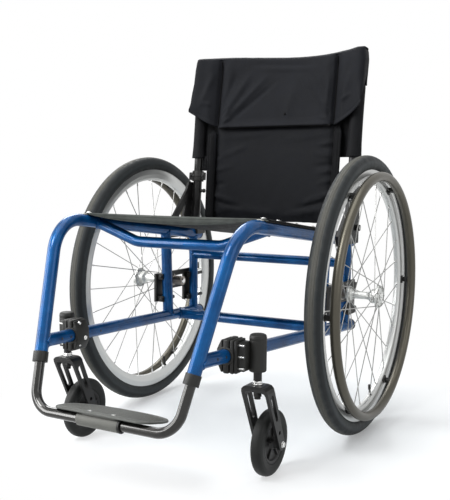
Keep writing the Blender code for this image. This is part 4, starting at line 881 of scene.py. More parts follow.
def rear_rim():
    """Hollow-section rim: flat side walls, hooked lips and a rounded back."""
    profile = [(0.2762, -0.0120), (0.2766, -0.0110), (0.2691, -0.0106), (0.2688, 0.0106), (0.2766, 0.0110),
               (0.2762, 0.0120), (0.2620, 0.0120), (0.2603, 0.0112), (0.2538, 0.0095), (0.2493, 0.0062),
               (0.2475, 0.0), (0.2493, -0.0062), (0.2538, -0.0095), (0.2603, -0.0112), (0.2620, -0.0120)]
    return ring(profile, 0.0007, WHEEL_STEPS, WHEEL, 2)


def spoke_ends(flange_x, flange_radius, index, offset):
    pitch = TAU / SPOKE_COUNT
    lean = 1 if index % 2 else -1
    hub_angle = index * pitch + offset
    rim_angle = hub_angle + lean * CROSSINGS * pitch
    start = AXLE + Vector((0, math.cos(hub_angle), math.sin(hub_angle))) * (flange_radius - 0.003)
    end = AXLE + Vector((0, math.cos(rim_angle), math.sin(rim_angle))) * SPOKE_REACH
    start.x = flange_x + lean * 0.0040
    end.x = WHEEL_X + math.copysign(0.002, flange_x - WHEEL_X)
    return start, end, lean


SPOKES = [spoke_ends(x, radius, index, offset)
          for index in range(SPOKE_COUNT) for x, radius, offset in FLANGES]


def spokes():
    """Round spokes with a bent elbow and a flat head at the flange."""
    shapes = []
    for start, end, lean in SPOKES:
        elbow = start + (end - start).normalized() * 0.0022
        hole, tip = (Vector((start.x - lean * reach, start.y, start.z)) for reach in (0.0022, 0.0082))
        shapes.append(sweep([tip, hole, start + (hole - start) * 0.3, elbow, end], 0.00100, 8))
        shapes.append(head(tip, X * -lean, 12, (0.0019, 0.0), (0.0019, 0.0006), (0.0008, 0.0011)))
    return merge(*shapes)


def nipples():
    return merge(*[head(end, end - start, 12, (0.0012, -0.0095), (0.0018, -0.0090), (0.0018, 0.0010),
                        (0.0026, 0.0016), (0.0026, 0.0032)) for start, end, _ in SPOKES])


def rear_hub():
    profile = [(AXLE_BORE, -HUB_INNER), (0.0105, -HUB_INNER), (0.0112, -0.0352), (0.0175, -0.0350),
               (0.0185, -0.0343), (0.0185, -0.0303), (0.0175, -0.0296), (0.0125, -0.0288), (0.0095, -0.0262),
               (0.0084, -0.022), (0.0082, 0.0080), (0.0095, 0.0125), (0.0140, 0.0165), (0.0155, 0.0190),
               (0.0155, 0.0285), (0.0165, 0.0302), (0.0238, 0.0310), (0.0245, 0.0318), (0.0245, 0.0362),
               (0.0238, 0.0368), (0.0150, 0.0370), (0.0128, HUB_OUTER), (AXLE_BORE, HUB_OUTER)]
    return ring(profile, 0.0006, 72, WHEEL, 2)


def hub_rings():
    return merge(*[ring(rectangle(radius - 0.001, x - 0.0008, radius, x + 0.0008), 0.0003, 56, WHEEL)
                   for x, radius in ((-0.020, 0.0086), (0.0215, 0.01565), (0.0260, 0.01565))])


def push_rim():
    profile = [(0.2598 + x, y) for x, y in circle(0.010, 28)]
    return lathe(profile, WHEEL_STEPS, outboard(WHEEL_X + 0.0325), True)


def rim_tabs():
    """Black brackets from the wheel rim to the push rim."""
    blocks = (((0.2510, -0.0090, 0.0075), (0.2620, 0.0090, 0.0128), 0.0014),
              ((0.2552, -0.0055, 0.0110), (0.2640, 0.0055, 0.0300), 0.0012),
              ((0.2546, -0.0085, 0.0225), (0.2650, 0.0085, 0.0268), 0.0014))
    return merge(*[block(*row, matrix) for matrix in TABS for row in blocks])


def tab_screws():
    return merge(*[head(matrix @ Vector((0.2562, y, 0.0126)), X, 14, (0.0019, -0.0005), (0.0019, 0.0006),
                        (0.0008, 0.0010)) for matrix in TABS for y in (-0.0062, 0.0062)])


def valve():
    root = wheel_at(-75) @ Vector((0.2490, 0, 0.0))
    matrix = along(root, AXLE + X * WHEEL_X - root)
    return merge(lathe([(0.0038, -0.001), (0.0038, 0.0012), (0.0030, 0.0016)], 20, matrix),
                 lathe([(0.0026, 0.0), (0.0026, 0.019), (0.0020, 0.0200)], 20, matrix),
                 turned([(0.0031, 0.014), (0.0034, 0.015), (0.0034, 0.0255), (0.0024, 0.0270)], 0.0004, 20,
                        matrix))


def axle_pin():
    """Pin with its flat head, and the two locking balls near its inner end."""
    profile = [(0.0048, 0.1835), (0.00635, 0.1850), (0.00635, AXLE_HEAD), (0.0078, AXLE_HEAD),
               (0.0078, AXLE_END - 0.0006), (0.0070, AXLE_END), (0.0034, AXLE_END),
               (0.0034, AXLE_END - 0.012)]
    shapes = [turned(profile, 0.0003, 48, outboard())]
    for offset in (-0.0056, 0.0056):
        ball = bmesh.new()
        bmesh.ops.create_uvsphere(ball, u_segments=16, v_segments=10, radius=0.0016,
                                  matrix=Matrix.Translation(Vector((0.1868, 0, AXLE_HEIGHT + offset))))
        shapes.append(ball)
    return merge(*shapes)


def release_button():
    profile = [(0.0030, AXLE_END - 0.007), (0.0030, AXLE_END + 0.0012), (0.0022, AXLE_END + 0.0020),
               (0.0006, AXLE_END + 0.0020)]
    return turned(profile, 0.0006, 36, outboard())


def axle_receiver():
    """Threaded sleeve with a nut on each side of the axle plate."""
    sleeve, end = 0.0110, WHEEL_X - HUB_INNER - 0.0006
    profile = [(AXLE_BORE, 0.1855), (sleeve - 0.0008, 0.1855), (sleeve, 0.1863)]
    x = 0.1880
    while x < 0.2085:
        profile += [(sleeve, x), (sleeve - 0.0005, x + 0.0007), (sleeve, x + 0.0014)]
        x += 0.0016
    profile += [(sleeve, 0.2140), (sleeve, end - 0.0008), (sleeve - 0.0008, end), (AXLE_BORE, end)]
    nuts = [hexagon(Vector((x, 0, AXLE_HEIGHT)), X, 0.0285, 0.0060) for x in (0.2150, 0.2278)]
    return merge(lathe(profile, 48, outboard(), True), *nuts)


add_pairs("rear_wheel_", ("rear_tyre", rear_tyre, TYRE), ("rear_rim", rear_rim, RIM_SILVER),
          ("rear_hub", rear_hub, HUB_SILVER), ("hub_rings", hub_rings, SPOKE_STEEL, "rear_hub"),
          ("spokes", spokes, SPOKE_STEEL, "rear_hub"), ("spoke_nipples", nipples, BRIGHT, "rear_hub"),
          ("push_rim", push_rim, BRONZE), ("push_rim_tabs", rim_tabs, PLASTIC, "footrest_collar"),
          ("push_rim_screws", tab_screws, BRIGHT, "caster_spacer"),
          ("tyre_valve", valve, PLASTIC, "footrest_collar"))
add_pair("axle_pin_skin", axle_pin, BRIGHT, "axle_", "quick_release_axle", "quick_release_axle")
add_pairs("button_", ("release_button", release_button, SILVER))
add_pairs("frame", ("axle_receiver", axle_receiver, RECEIVER))


def dress(stem, material, edge):
    """Material and rounded edges on both of a pair of nodes whose shape is kept."""
    for side in ("_left", "_right"):
        obj = frame["nodes"][stem + side]
        for held in obj.material_slots:
            held.material = material
        bevel = obj.modifiers.new("edges", "BEVEL")
        bevel.width = edge
        bevel.segments = 2
        bevel.limit_method = "ANGLE"
        bevel.angle_limit = math.radians(35)
        bevel.harden_normals = True


dress("axle_plate", PLASTIC, 0.0008)
dress("hinge_bracket", BLACK, 0.0008)
dress("caster_fork", BLACK, 0.0009)


def plate_bolts():
    shapes = []
    for upright, height, reach in ((FRONT_UPRIGHT, 0.2645, 0.020), (FRONT_UPRIGHT, 0.3195, 0.020),
                                   (REAR_UPRIGHT, 0.254, 0.034), (REAR_UPRIGHT, 0.311, 0.034)):
        centre = at(upright, 2, height)
        bolt = Vector((centre.x + 0.0065, centre.y + 0.0150 + reach, height))
        shapes.append(rod(bolt, bolt + Y * 0.0040, 0.0026, 20, 0.0005))
        front = Vector((centre.x + 0.0065, centre.y - 0.0170, height))
        shapes.append(hexagon(front, -Y, 0.0080, 0.0030, X, 0.0005))
    return merge(*shapes)


add_pairs("frame", ("axle_plate_bolts", plate_bolts, BLACK, "caster_stem"))


# back posts and brackets

COLLAR = along(at(POST, 2, 0.564), direction(POST))
LOCK = at(POST, 2, 0.527)
BRACKET_GAP = POST_TUBE + 0.0016


def back_post():
    return rod(PIVOT - direction(POST) * 0.006, at(POST, 2, 0.832), POST_TUBE, 44, 0.0008)


def post_collar():
    """Split clamp collar with a screw across its lugs."""
    groove = [(0.0148, -0.0022), (0.0157, -0.0016), (0.0157, 0.0016), (0.0148, 0.0022)]
    return merge(ring(rectangle(0.0112, -0.013, 0.0150, 0.013), 0.0010, 48, COLLAR),
                 plate(rectangle(-0.0060, -0.0238, 0.0060, -0.0125), COLLAR, -0.0098, 0.0098, 0.0016, 3),
                 plate(rectangle(-0.0060, 0.0125, 0.0060, 0.0208), COLLAR, -0.0098, 0.0098, 0.0016, 3),
                 ring(groove, 0.0005, 48, COLLAR))


def collar_screws():
    return merge(*[head(COLLAR @ Vector((0.0058 * side, y, 0)), COLLAR.to_3x3() @ Vector((side, 0, 0)), 20,
                        (0.0032, -0.0005), (0.0032, 0.0012), (0.0025, 0.0020), (0.0008, 0.0020))
                   for y in (-0.0182, 0.0166) for side in (-1, 1)])


def lock_pin():
    """Pin through the post with its pull knob inside."""
    face = LOCK.x - POST_TUBE - 0.001
    profile = [(0.0012, face - 0.011), (0.0040, face - 0.011), (0.0052, face - 0.0098),
               (0.0052, face - 0.0062), (0.0036, face - 0.0048), (0.0036, face - 0.0022),
               (0.0047, face - 0.0015), (0.0047, face), (0.0028, face), (0.0028, LOCK.x + 0.010)]
    return turned(profile, 0.0005, 36, outboard(0, LOCK))


def pivot_trim():
    """Heads of the pivot pin and the screws on the bracket's plates."""
    inner = Vector((PIVOT_X - BRACKET_GAP - 0.0085, PIVOT.y, PIVOT.z))
    outer = Vector((PIVOT_X + BRACKET_GAP + 0.015, PIVOT.y, PIVOT.z))
    shapes = [head(inner, -X, 24, (0.0036, -0.0004), (0.0036, 0.0008), (0.0028, 0.0016), (0.0008, 0.0018)),
              head(outer, X, 24, (0.0052, -0.0004), (0.0052, 0.0004), (0.0040, 0.0010), (0.0008, 0.0012))]
    for y, z, size in ((-0.036, 0.4335, 0.0044), (-0.058, 0.4300, 0.0044), (-0.094, 0.4245, 0.0044),
                       (0.002, 0.4210, 0.0040), (0.010, 0.5060, 0.0036), (0.0045, 0.4730, 0.0032)):
        shapes.append(head(Vector((PIVOT.x + BRACKET_GAP, PIVOT.y + y, z)), -X, 24, (size, -0.0004),
                           (size, 0.0008), (size * 0.8, 0.0018), (size * 0.25, 0.0020)))
    for y in (-0.013, 0.013):
        shapes.append(head(Vector((0.2000, PIVOT.y + y, 0.4336)), Z, 24, (0.0036, -0.0006), (0.0036, 0.0010),
                           (0.0028, 0.0020), (0.0010, 0.0022)))
    return merge(*shapes)


add_pairs("backrest", ("back_post", back_post, POST_BLACK), ("post_collar", post_collar, PLASTIC),
          ("post_collar_screws", collar_screws, BLACK, "caster_stem"))
add_pairs("pin_", ("lock_pin", lock_pin, PLASTIC))
add_pairs("frame", ("pivot_screws", pivot_trim, SCREW_STEEL, "caster_spacer"))


# back upholstery

BACK_TOP, BACK_HOLLOW, TOP_SAG, TOP_LEAN = 0.8645, 0.037, 0.00675, 0.0115
TOP_TURN = 0.0085
SHOULDER = BACK_TOP - TOP_TURN
FLAP_REAR_HEM, SLEEVE_HEM, SLEEVE_TOP = 0.7755, 0.6103, 0.8560
PAD_BOTTOM, PAD_TOP, PAD_HALF = 0.446, 0.8555, 0.180
SEAM_X = 0.158
FLAP_FRONT_GAP, FLAP_REAR_GAP, FLAP_POST_GAP = 0.0276, 0.0083, 0.019
PAD_GAP, PAD_DEPTH = 0.0023, 0.0155

# Folds of the flap, the rear cloth and the pad: start and end as x to the chair's left and height, then the
# half width and the height of the fold itself
FLAP_FOLDS = [
    ((-0.150, 0.700), (-0.075, 0.822), 0.0090, 0.0030), ((-0.140, 0.702), (-0.030, 0.815), 0.0075, 0.0024),
    ((-0.128, 0.700), (-0.005, 0.800), 0.0060, -0.0020), ((-0.152, 0.712), (-0.112, 0.826), 0.0070, -0.0018),
    ((0.152, 0.700), (0.098, 0.835), 0.0100, 0.0030), ((0.146, 0.702), (0.120, 0.800), 0.0070, -0.0020),
    ((0.150, 0.706), (0.060, 0.822), 0.0090, 0.0018), ((-0.205, 0.735), (-0.170, 0.825), 0.0080, 0.0022),
    ((0.172, 0.712), (0.200, 0.815), 0.0090, 0.0022), ((0.020, 0.700), (0.048, 0.790), 0.0120, 0.0012),
    ((-0.090, 0.846), (0.080, 0.842), 0.0060, -0.0016), ((-0.060, 0.835), (0.110, 0.829), 0.0070, 0.0014),
    ((-0.198, 0.752), (-0.172, 0.742), 0.0050, 0.0016), ((0.170, 0.740), (0.204, 0.757), 0.0050, 0.0018),
    ((0.136, 0.694), (0.139, 0.815), 0.0060, 0.0020), ((-0.150, 0.694), (-0.120, 0.712), 0.0042, 0.0022),
    ((0.150, 0.694), (0.118, 0.709), 0.0042, 0.0022), ((-0.150, 0.710), (-0.128, 0.738), 0.0038, -0.0016),
    ((0.150, 0.708), (0.130, 0.738), 0.0038, -0.0016),
]
REAR_FOLDS = [
    ((-0.180, 0.640), (-0.020, 0.652), 0.0070, 0.0022), ((0.020, 0.636), (0.180, 0.650), 0.0070, 0.0022),
    ((-0.185, 0.690), (-0.060, 0.672), 0.0060, 0.0018), ((0.185, 0.700), (0.050, 0.684), 0.0065, 0.0020),
    ((-0.150, 0.722), (0.060, 0.716), 0.0080, 0.0016), ((-0.186, 0.745), (-0.090, 0.752), 0.0055, 0.0014),
    ((0.186, 0.738), (0.080, 0.748), 0.0055, 0.0016), ((-0.060, 0.622), (0.090, 0.620), 0.0060, 0.0014),
]
PAD_FOLDS = [
    ((-0.172, 0.600), (-0.080, 0.640), 0.0050, 0.0016), ((-0.172, 0.575), (-0.110, 0.590), 0.0045, 0.0014),
    ((-0.174, 0.545), (-0.125, 0.545), 0.0045, -0.0014), ((-0.172, 0.520), (-0.105, 0.498), 0.0060, 0.0024),
    ((-0.168, 0.506), (-0.060, 0.478), 0.0060, -0.0018), ((-0.120, 0.488), (0.010, 0.470), 0.0070, 0.0020),
    ((0.172, 0.530), (0.085, 0.500), 0.0060, 0.0026), ((0.172, 0.512), (0.060, 0.484), 0.0055, -0.0020),
    ((0.150, 0.492), (0.030, 0.466), 0.0070, 0.0024), ((0.174, 0.560), (0.120, 0.548), 0.0050, 0.0014),
    ((0.172, 0.610), (0.100, 0.622), 0.0060, 0.0012), ((-0.150, 0.660), (-0.020, 0.672), 0.0080, 0.0010),
    ((0.174, 0.648), (0.112, 0.640), 0.0042, 0.0013), ((0.174, 0.632), (0.120, 0.634), 0.0036, -0.0011),
    ((0.174, 0.594), (0.104, 0.588), 0.0044, -0.0014), ((0.174, 0.580), (0.118, 0.574), 0.0040, 0.0014),
    ((-0.174, 0.616), (-0.130, 0.612), 0.0038, -0.0012), ((0.020, 0.655), (0.150, 0.668), 0.0080, 0.0010),
]


def spread(count, reach=1.0):
    """Evenly spaced values from minus the reach to the reach."""
    return [reach * (2 * step / count - 1) for step in range(count + 1)]


def bell(offset, width):
    return math.exp(-(offset / width) ** 2)


def hollow(x, post_x):
    return BACK_HOLLOW * (1 - (x / post_x) ** 2)


def hung(x, y, z):
    """Point lowered by the sag of the back's top edge."""
    return Vector((x, y, z - top_sag(x, z)))


def top_sag(x, height):
    across = max(0.0, 1 - (x / PIVOT.x) ** 2)
    return max(0.0, TOP_SAG + TOP_LEAN * x / PIVOT.x) * across * unit((height - 0.775) / 0.0815)


def soft_noise(x, y, z, scale):
    return noise.noise(Vector((x * scale, y * scale, z * scale)))


def ridge(px, pz, start, end, width, height):
    """Height of a fold that runs from start to end and fades out at both."""
    ax, az = end[0] - start[0], end[1] - start[1]
    length = math.hypot(ax, az)
    along_fold = ((px - start[0]) * ax + (pz - start[1]) * az) / length ** 2
    off = ((px - start[0]) * az - (pz - start[1]) * ax) / length
    fade = unit((along_fold + 0.05) / 0.35) * unit((1.05 - along_fold) / 0.35)
    return height * fade * bell(off, width)


def folds(x, z, table):
    return sum(ridge(x, z, *fold) for fold in table)


def seam_x(x, z):
    """The two sewn seams of the flap lean slightly."""
    if x < 0:
        return 0.1592 - 0.0285 * (z - 0.69)
    return 0.1545 + 0.0160 * (z - 0.69)


def flap_edge(x):
    """Lower hem: nearly level between the seams, rising outside them."""
    distance, level = abs(x), 0.156
    if distance <= level:
        return 0.6885 - 0.0022 * (distance / level) ** 2
    return 0.6863 + 0.0350 * ((distance - level) / 0.0635) ** (1.7 if x > 0 else 1.15)


def flap_shape(x, z):
    """Relief of the flap's front: folds, the two sewn seams and a rolled lower hem."""
    seam = abs(abs(x) - seam_x(x, z))
    above_hem = z - flap_edge(x)
    relief = 1.3 * folds(x, z, FLAP_FOLDS)
    relief -= 0.0078 * bell(seam, 0.0045) + 0.0052 * bell(seam, 0.0150)
    relief += 0.0018 * bell(seam - 0.0240, 0.0120)
    relief += 0.0010 * soft_noise(x, z, 1.3, 16) + 0.0006 * soft_noise(x, z, 7.1, 42)
    return relief - 0.0010 * bell(above_hem - 0.011, 0.0012) + 0.0012 * bell(above_hem - 0.004, 0.0045)


def flap_half_width(z):
    table = [(0.670, 0.2265), (0.720, 0.2285), (0.775, 0.2300), (0.800, 0.2290), (0.835, 0.2268),
             (0.852, 0.2245), (0.8615, 0.2215), (BACK_TOP, 0.2180)]
    for (low, first), (high, second) in zip(table, table[1:]):
        if z <= high:
            return first + (second - first) * max(0.0, (z - low) / (high - low))
    return table[-1][1]


def curl(distance, half_width):
    """Share by which the flap's end has turned round the post."""
    return 1 - (1 - unit((distance - 0.195) / (half_width - 0.195)) ** 3) ** (1 / 3)


def pocket(z):
    """Share by which the flap's end is closed to a pocket."""
    return unit((z - 0.735) / 0.065)


def flap_front_y(x, z, half_width):
    post = at(POST, 2, z)
    distance = min(abs(x), half_width)
    hanging = post.y + hollow(distance, post.x) - FLAP_FRONT_GAP
    return hanging + (post.y - 0.0002 - hanging) * curl(distance, half_width) * pocket(z)


def flap_rear_y(x, z, half_width):
    post = at(POST, 2, z)
    depth = FLAP_REAR_GAP + (FLAP_POST_GAP - FLAP_REAR_GAP) * unit((abs(x) - 0.165) / 0.025)
    hanging = post.y + max(0.0, hollow(x, post.x)) + depth
    return hanging + (post.y + 0.0002 - hanging) * curl(abs(x), half_width)


def flap_face(x, z):
    """Front of the flap with its relief, which fades out towards the top."""
    return flap_front_y(x, z, flap_half_width(z)) - flap_shape(x, z) * min(1.0, (BACK_TOP - z) / 0.03)


def hem_lift(x):
    """How far the hem stands forward between the seams."""
    return 0.0065 * max(0.0, 1 - (x / 0.170) ** 4)


def left_end(share, z):
    """The left end stands out a little at its top."""
    return 0.0045 * unit((z - 0.785) / 0.05) if share > 0 else 0.0


def flap_front(share, up):
    low = flap_edge(share * 0.2285)
    z = low + (SHOULDER - low) * up
    half = flap_half_width(z) + left_end(share, z)
    x = share * half
    fade = (1 - curl(abs(x), half) * pocket(z)) * min(1.0, (BACK_TOP - z) / 0.03)
    lift = hem_lift(x) * max(0.0, 1 - up / 0.14) ** 2
    return hung(x, flap_front_y(x, z, half) - flap_shape(x, z) * fade - lift, z)


def flap_top(share, turn):
    z = SHOULDER + TOP_TURN * math.sin(turn)
    wider = left_end(share, z)
    x = share * (flap_half_width(z) + wider)
    half = flap_half_width(SHOULDER) + wider
    front, rear = flap_front_y(x, SHOULDER, half), flap_rear_y(x, SHOULDER, half)
    ripple = 0.0007 * soft_noise(x, z, 2.0, 30) * math.sin(turn)
    y = (front + rear) / 2 - (rear - front) / 2 * math.cos(turn)
    return Vector((x, y, z - top_sag(x, z) - abs(ripple)))


def flap_rear(share, down):
    z = SHOULDER - (SHOULDER - FLAP_REAR_HEM) * down
    half = flap_half_width(z) + left_end(share, z)
    x = share * half
    wave = 0.0012 * (0.5 + 0.5 * soft_noise(x, z, 4.0, 26)) * (1 - curl(abs(x), half))
    return hung(x, flap_rear_y(x, z, half) - wave, z)


def flap_sheet():
    """One cloth from its front hem, over the top and down to its rear hem."""
    rows = []
    for point, steps in ((flap_front, [row / 54 for row in range(55)]),
                         (flap_top, [math.pi * row / 12 for row in range(1, 12)]),
                         (flap_rear, [row / 20 for row in range(21)])):
        rows += [[point(share, step) for share in spread(200)] for step in steps]
    return grid(rows)


def solidify(obj, thickness, offset=-1.0):
    modifier = obj.modifiers.new("cloth thickness", "SOLIDIFY")
    modifier.thickness = thickness
    modifier.offset = offset
    modifier.use_even_offset = False
    modifier.use_rim = True


def stitches(lines, normal, radius=0.00042, pitch=0.0042):
    """Short stitches along lines of points."""
    shapes = []
    for points in lines:
        travelled, following = 0.0, 0.0
        for start, end in zip(points, points[1:]):
            step = (end - start).length
            if step == 0:
                continue
            while following <= travelled + step:
                reach = (end - start).normalized() * 0.0026 / 2
                lifted = start.lerp(end, (following - travelled) / step) + normal * 0.0002
                shapes.append(sweep([lifted - reach, lifted + normal * 0.0002, lifted + reach], radius, 5))
                following += pitch
            travelled += step
    return merge(*shapes)


def rear_cloth_y(x, height):
    """Rear face of the cloth between the posts, with folds that stand out to the rear only."""
    post = at(POST, 2, height)
    proud = max(0.0, 1.7 * folds(x, height, REAR_FOLDS)) if height < 0.765 else 0.0
    return post.y + hollow(x, post.x) + proud + 0.0004 * soft_noise(x, height, 9.0, 30)


def back_cloth():
    """Rear cloth between the posts with a sleeve sewn round each post."""
    rows = []
    for row in range(81):
        height = SLEEVE_HEM + (SLEEVE_TOP - SLEEVE_HEM) * row / 80
        post = at(POST, 2, height)
        radius = 0.0154 - 0.0034 * unit((height - 0.770) / 0.014)
        flare = 0.0016 * max(0.0, 1 - (height - SLEEVE_HEM) / 0.03)
        wrap, middle = [], []
        for angle in (math.radians(-188 + step * 278 / 30) for step in range(31)):
            reach = radius + flare + 0.0008 * soft_noise(math.cos(angle), height * 14, 3.0, 1.6)
            wrap.append(Vector((post.x + reach * math.cos(angle), post.y + reach * math.sin(angle), height)))
        for step in range(1, 80):
            x = (post.x - 0.004) * (1 - 2 * step / 80)
            near = max(0.0, 1 - (post.x - abs(x)) / 0.020)
            middle.append(hung(x, rear_cloth_y(x, height) + (radius * 0.985) * near * near * 0.9, height))
        rows.append(wrap + middle + [mirrored(point) for point in reversed(wrap)])
    return grid(rows)


def pad_front_y(x, z):
    """Front of the padded back in the rear cloth's own hollow, before its folds are added."""
    post = at(POST, 2, z)
    share, up = x / PAD_HALF, (z - PAD_BOTTOM) / (PAD_TOP - PAD_BOTTOM)
    rim = min(1.0, max(0.0, 6.0 * (1 - abs(share))), max(0.0, 14 * up), max(0.0, 14 * (1 - up)))
    crown = 0.0035 * max(0.0, 1 - (x / SEAM_X) ** 2) * (1 - (2 * up - 1) ** 4)
    return post.y + hollow(x, post.x) - PAD_GAP - PAD_DEPTH * (0.42 + 0.58 * math.sqrt(rim)) - crown


def border_fill(z):
    """Share by which the pad's border fills out, from its lower end up to the flap."""
    return 0.30 + 0.70 * unit((z - 0.460) / 0.190)


def pad_border(x, z):
    """How far the filled border beyond each side seam stands forward."""
    along_side = unit(min((z - 0.450) / 0.020, (0.688 - z) / 0.022))
    return 0.0080 * math.sin(unit((abs(x) - 0.160) / 0.018) * math.pi / 2) * along_side * border_fill(z)


def pad_block():
    """Slightly slimmed pad, before its filling."""
    shape = bmesh.new()
    near, far = [], []
    for row in range(51):
        z = PAD_BOTTOM + 0.002 + (PAD_TOP - PAD_BOTTOM - 0.004) * row / 50
        post, places = at(POST, 2, z), spread(44, PAD_HALF - 0.002)
        near.append([hung(x, pad_front_y(x, z) + 0.0022, z) for x in places])
        far.append([hung(x, post.y + hollow(x, post.x) - 0.0030, z) for x in places])
    front, rear = grid(near, shape), grid(far, shape)
    borders = [(front[0], rear[0]), (front[-1], rear[-1])]
    borders += [([row[end] for row in front], [row[end] for row in rear]) for end in (0, -1)]
    for edge, other in borders:
        for index in range(len(edge) - 1):
            shape.faces.new((edge[index], edge[index + 1], other[index + 1], other[index]))
    return shape


def fill_pad(obj):
    """Even mesh that is blown up as cloth, with every point held near its start."""
    def evaluated():
        graph = bpy.context.evaluated_depsgraph_get()
        mesh = bpy.data.meshes.new_from_object(obj.evaluated_get(graph))
        obj.modifiers.clear()
        return mesh

    remesh = obj.modifiers.new("even mesh", "REMESH")
    remesh.mode = "VOXEL"
    remesh.voxel_size = 0.0045
    obj.data = evaluated()
    start = [vertex.co.copy() for vertex in obj.data.vertices]
    last_frame, cap = 20, 0.004
    cloth = obj.modifiers.new("filling", "CLOTH")
    for name, value in (("quality", 5), ("mass", 0.3), ("tension_stiffness", 12),
                        ("compression_stiffness", 12), ("bending_stiffness", 0.4), ("use_pressure", True),
                        ("uniform_pressure_force", 4.0)):
        setattr(cloth.settings, name, value)
    cloth.settings.effector_weights.gravity = 0
    cloth.point_cache.frame_start = 1
    cloth.point_cache.frame_end = last_frame
    for step in range(1, last_frame + 1):
        bpy.context.scene.frame_set(step)
    filled = evaluated()
    bpy.context.scene.frame_set(1)
    for vertex, origin in zip(filled.vertices, start):
        move = vertex.co - origin
        if move.length > cap:
            vertex.co = origin + move.normalized() * cap
    obj.data = filled


def pad_relief(x, z):
    """Folds, side seams and lower borders of the pad's front."""
    seam = abs(x) - (0.1515 + 0.055 * (z - 0.48) if x < 0 else 0.1530)
    relief = 2.2 * folds(x, z, PAD_FOLDS)
    relief -= 0.0042 * bell(seam, 0.0026) + 0.0030 * bell(seam, 0.0130)
    relief -= 0.0034 * unit(seam / 0.004)
    return relief + 0.0009 * soft_noise(x, z, 5.0, 14) + 0.0005 * soft_noise(x, z, 8.0, 46)


def pad_piece():
    obj = add("back_pad_skin", pad_block(), PAD_CLOTH, "backrest", ["back_pad"], 60)
    fill_pad(obj)
    mesh = obj.data
    for vertex in mesh.vertices:
        x, y, z = vertex.co.x, vertex.co.y - SHIFT, vertex.co.z
        post = at(POST, 2, min(z, 0.85))
        rear = post.y + hollow(x, post.x) - 0.0024
        front = pad_front_y(max(-PAD_HALF, min(PAD_HALF, x)), z)
        depth = (rear - y) / max(0.004, rear - front)
        if depth > 0.25:
            share = min(1.0, (depth - 0.25) / 0.4)
            edge = unit(min((PAD_HALF - abs(x)) / 0.012, (z - PAD_BOTTOM) / 0.014))
            behind_crease = unit((z - 0.694) / 0.010) * unit((abs(x) - 0.132) / 0.010)
            under_hem = bell(z - 0.6935, 0.0120) * max(0.0, 1 - ((x - 0.01) / 0.150) ** 4)
            y -= pad_relief(x, z) * share * edge
            y += (0.0050 * behind_crease + 0.0075 * under_hem) * share
            y -= pad_border(x, z) * min(1.0, (depth - 0.25) / 0.5)
        vertex.co.y = min(max(y, front - 0.0035 - pad_border(x, z)), rear) + SHIFT
        vertex.co.x = max(-PAD_HALF + 0.0006, min(PAD_HALF - 0.0006, x))
    mesh.materials.clear()
    mesh.materials.append(PAD_CLOTH)
    mesh.shade_smooth()
    smooth = obj.modifiers.new("soften", "SMOOTH")
    smooth.factor = 0.5
    smooth.iterations = 2
    fine = obj.modifiers.new("fine", "SUBSURF")
    fine.levels = 1
    fine.render_levels = 1


def pad_roll():
    """Filled border with a cord along its outer edge, sewn to the pad's side."""
    shape = bmesh.new()
    rings = []
    for share in (step / 90 for step in range(91)):
        z = 0.4535 + (0.684 - 0.4535) * share
        out = math.sin(math.pi / 2 * max(0.04, min(1.0, share / 0.05, (1 - share) / 0.08)))
        fill = border_fill(z)
        middle_x = 0.1665 + 0.0035 * fill
        middle_y = at(POST, 2, z).y - 0.0015 - 0.0055 * out * fill
        outline = []
        for across, depth in circle(1.0, 36):
            half = 0.0045 * (1 - 0.42 * bell(across - 0.42, 0.11)) * out
            outline.append(shape.verts.new((middle_x + 0.0105 * across * out,
                                            middle_y + half * depth - 0.0028 * across * out, z)))
        rings.append(outline)
    join_rings(shape, rings, False)
    return shape


def strap_end():
    """Ribbed strap end that hangs from the right sleeve's hem beside the post."""
    hang = mirrored(direction(POST))
    centre = mirrored(at(POST, 2, 0.598)) + X * 0.0182
    outline = rectangle(-0.0011, -0.0066, 0.0011, 0.0066)
    shapes = [plate(outline, along(centre, hang), -0.0200, 0.0170, 0.0006)]
    for step in range(8):
        rib = centre - Y * 0.0012 + hang * (0.0036 * step - 0.0165)
        shapes.append(rod(rib - X * 0.0060, rib + X * 0.0060, 0.0010, 12, 0.0004))
    return merge(*shapes)


def flap_seams():
    """A row of points on each side of both seams."""
    lines = []
    for side, offset in ((-1, -0.0068), (-1, 0.0068), (1, -0.0068), (1, 0.0068)):
        low = flap_edge(side * 0.157 + offset) + 0.004
        heights = [low + (0.850 - low) * step / 59 for step in range(60)]
        places = [(side * seam_x(side, z) + offset, z) for z in heights]
        lines.append([hung(x, flap_face(x, z) - 0.0001, z) for x, z in places])
    return lines


def crease_shade_strip():
    """Dark strip at the bottom of each seam's crease: painted shade where the crease is shaded."""
    shapes = []
    for side in (-1, 1):
        line = []
        for z in (0.6885 + (0.853 - 0.6885) * step / 59 for step in range(60)):
            x = side * seam_x(side, z)
            line.append(hung(x, flap_face(x, z) - 0.0006, z))
        shapes.append(sweep(line, 0.0020, 12))
    return merge(*shapes)


def hem_shadow_strip():
    """Dark round strip along the underside of the flap's front hem: a painted shadow below the hem."""
    line = []
    for x in spread(120, 0.150):
        z = flap_edge(x) - 0.0010
        line.append(hung(x, flap_front_y(x, z, flap_half_width(z)) - hem_lift(x) + 0.0050, z))
    return sweep(line, 0.0028, 12)


def flap_stud():
    x, z = 0.0229, 0.7168
    matrix = along(hung(x, flap_face(x, z), z), -Y, Z)
    return turned([(0.0030, -0.001), (0.0030, 0.0006), (0.0022, 0.0012)], 0.0004, 24, matrix)


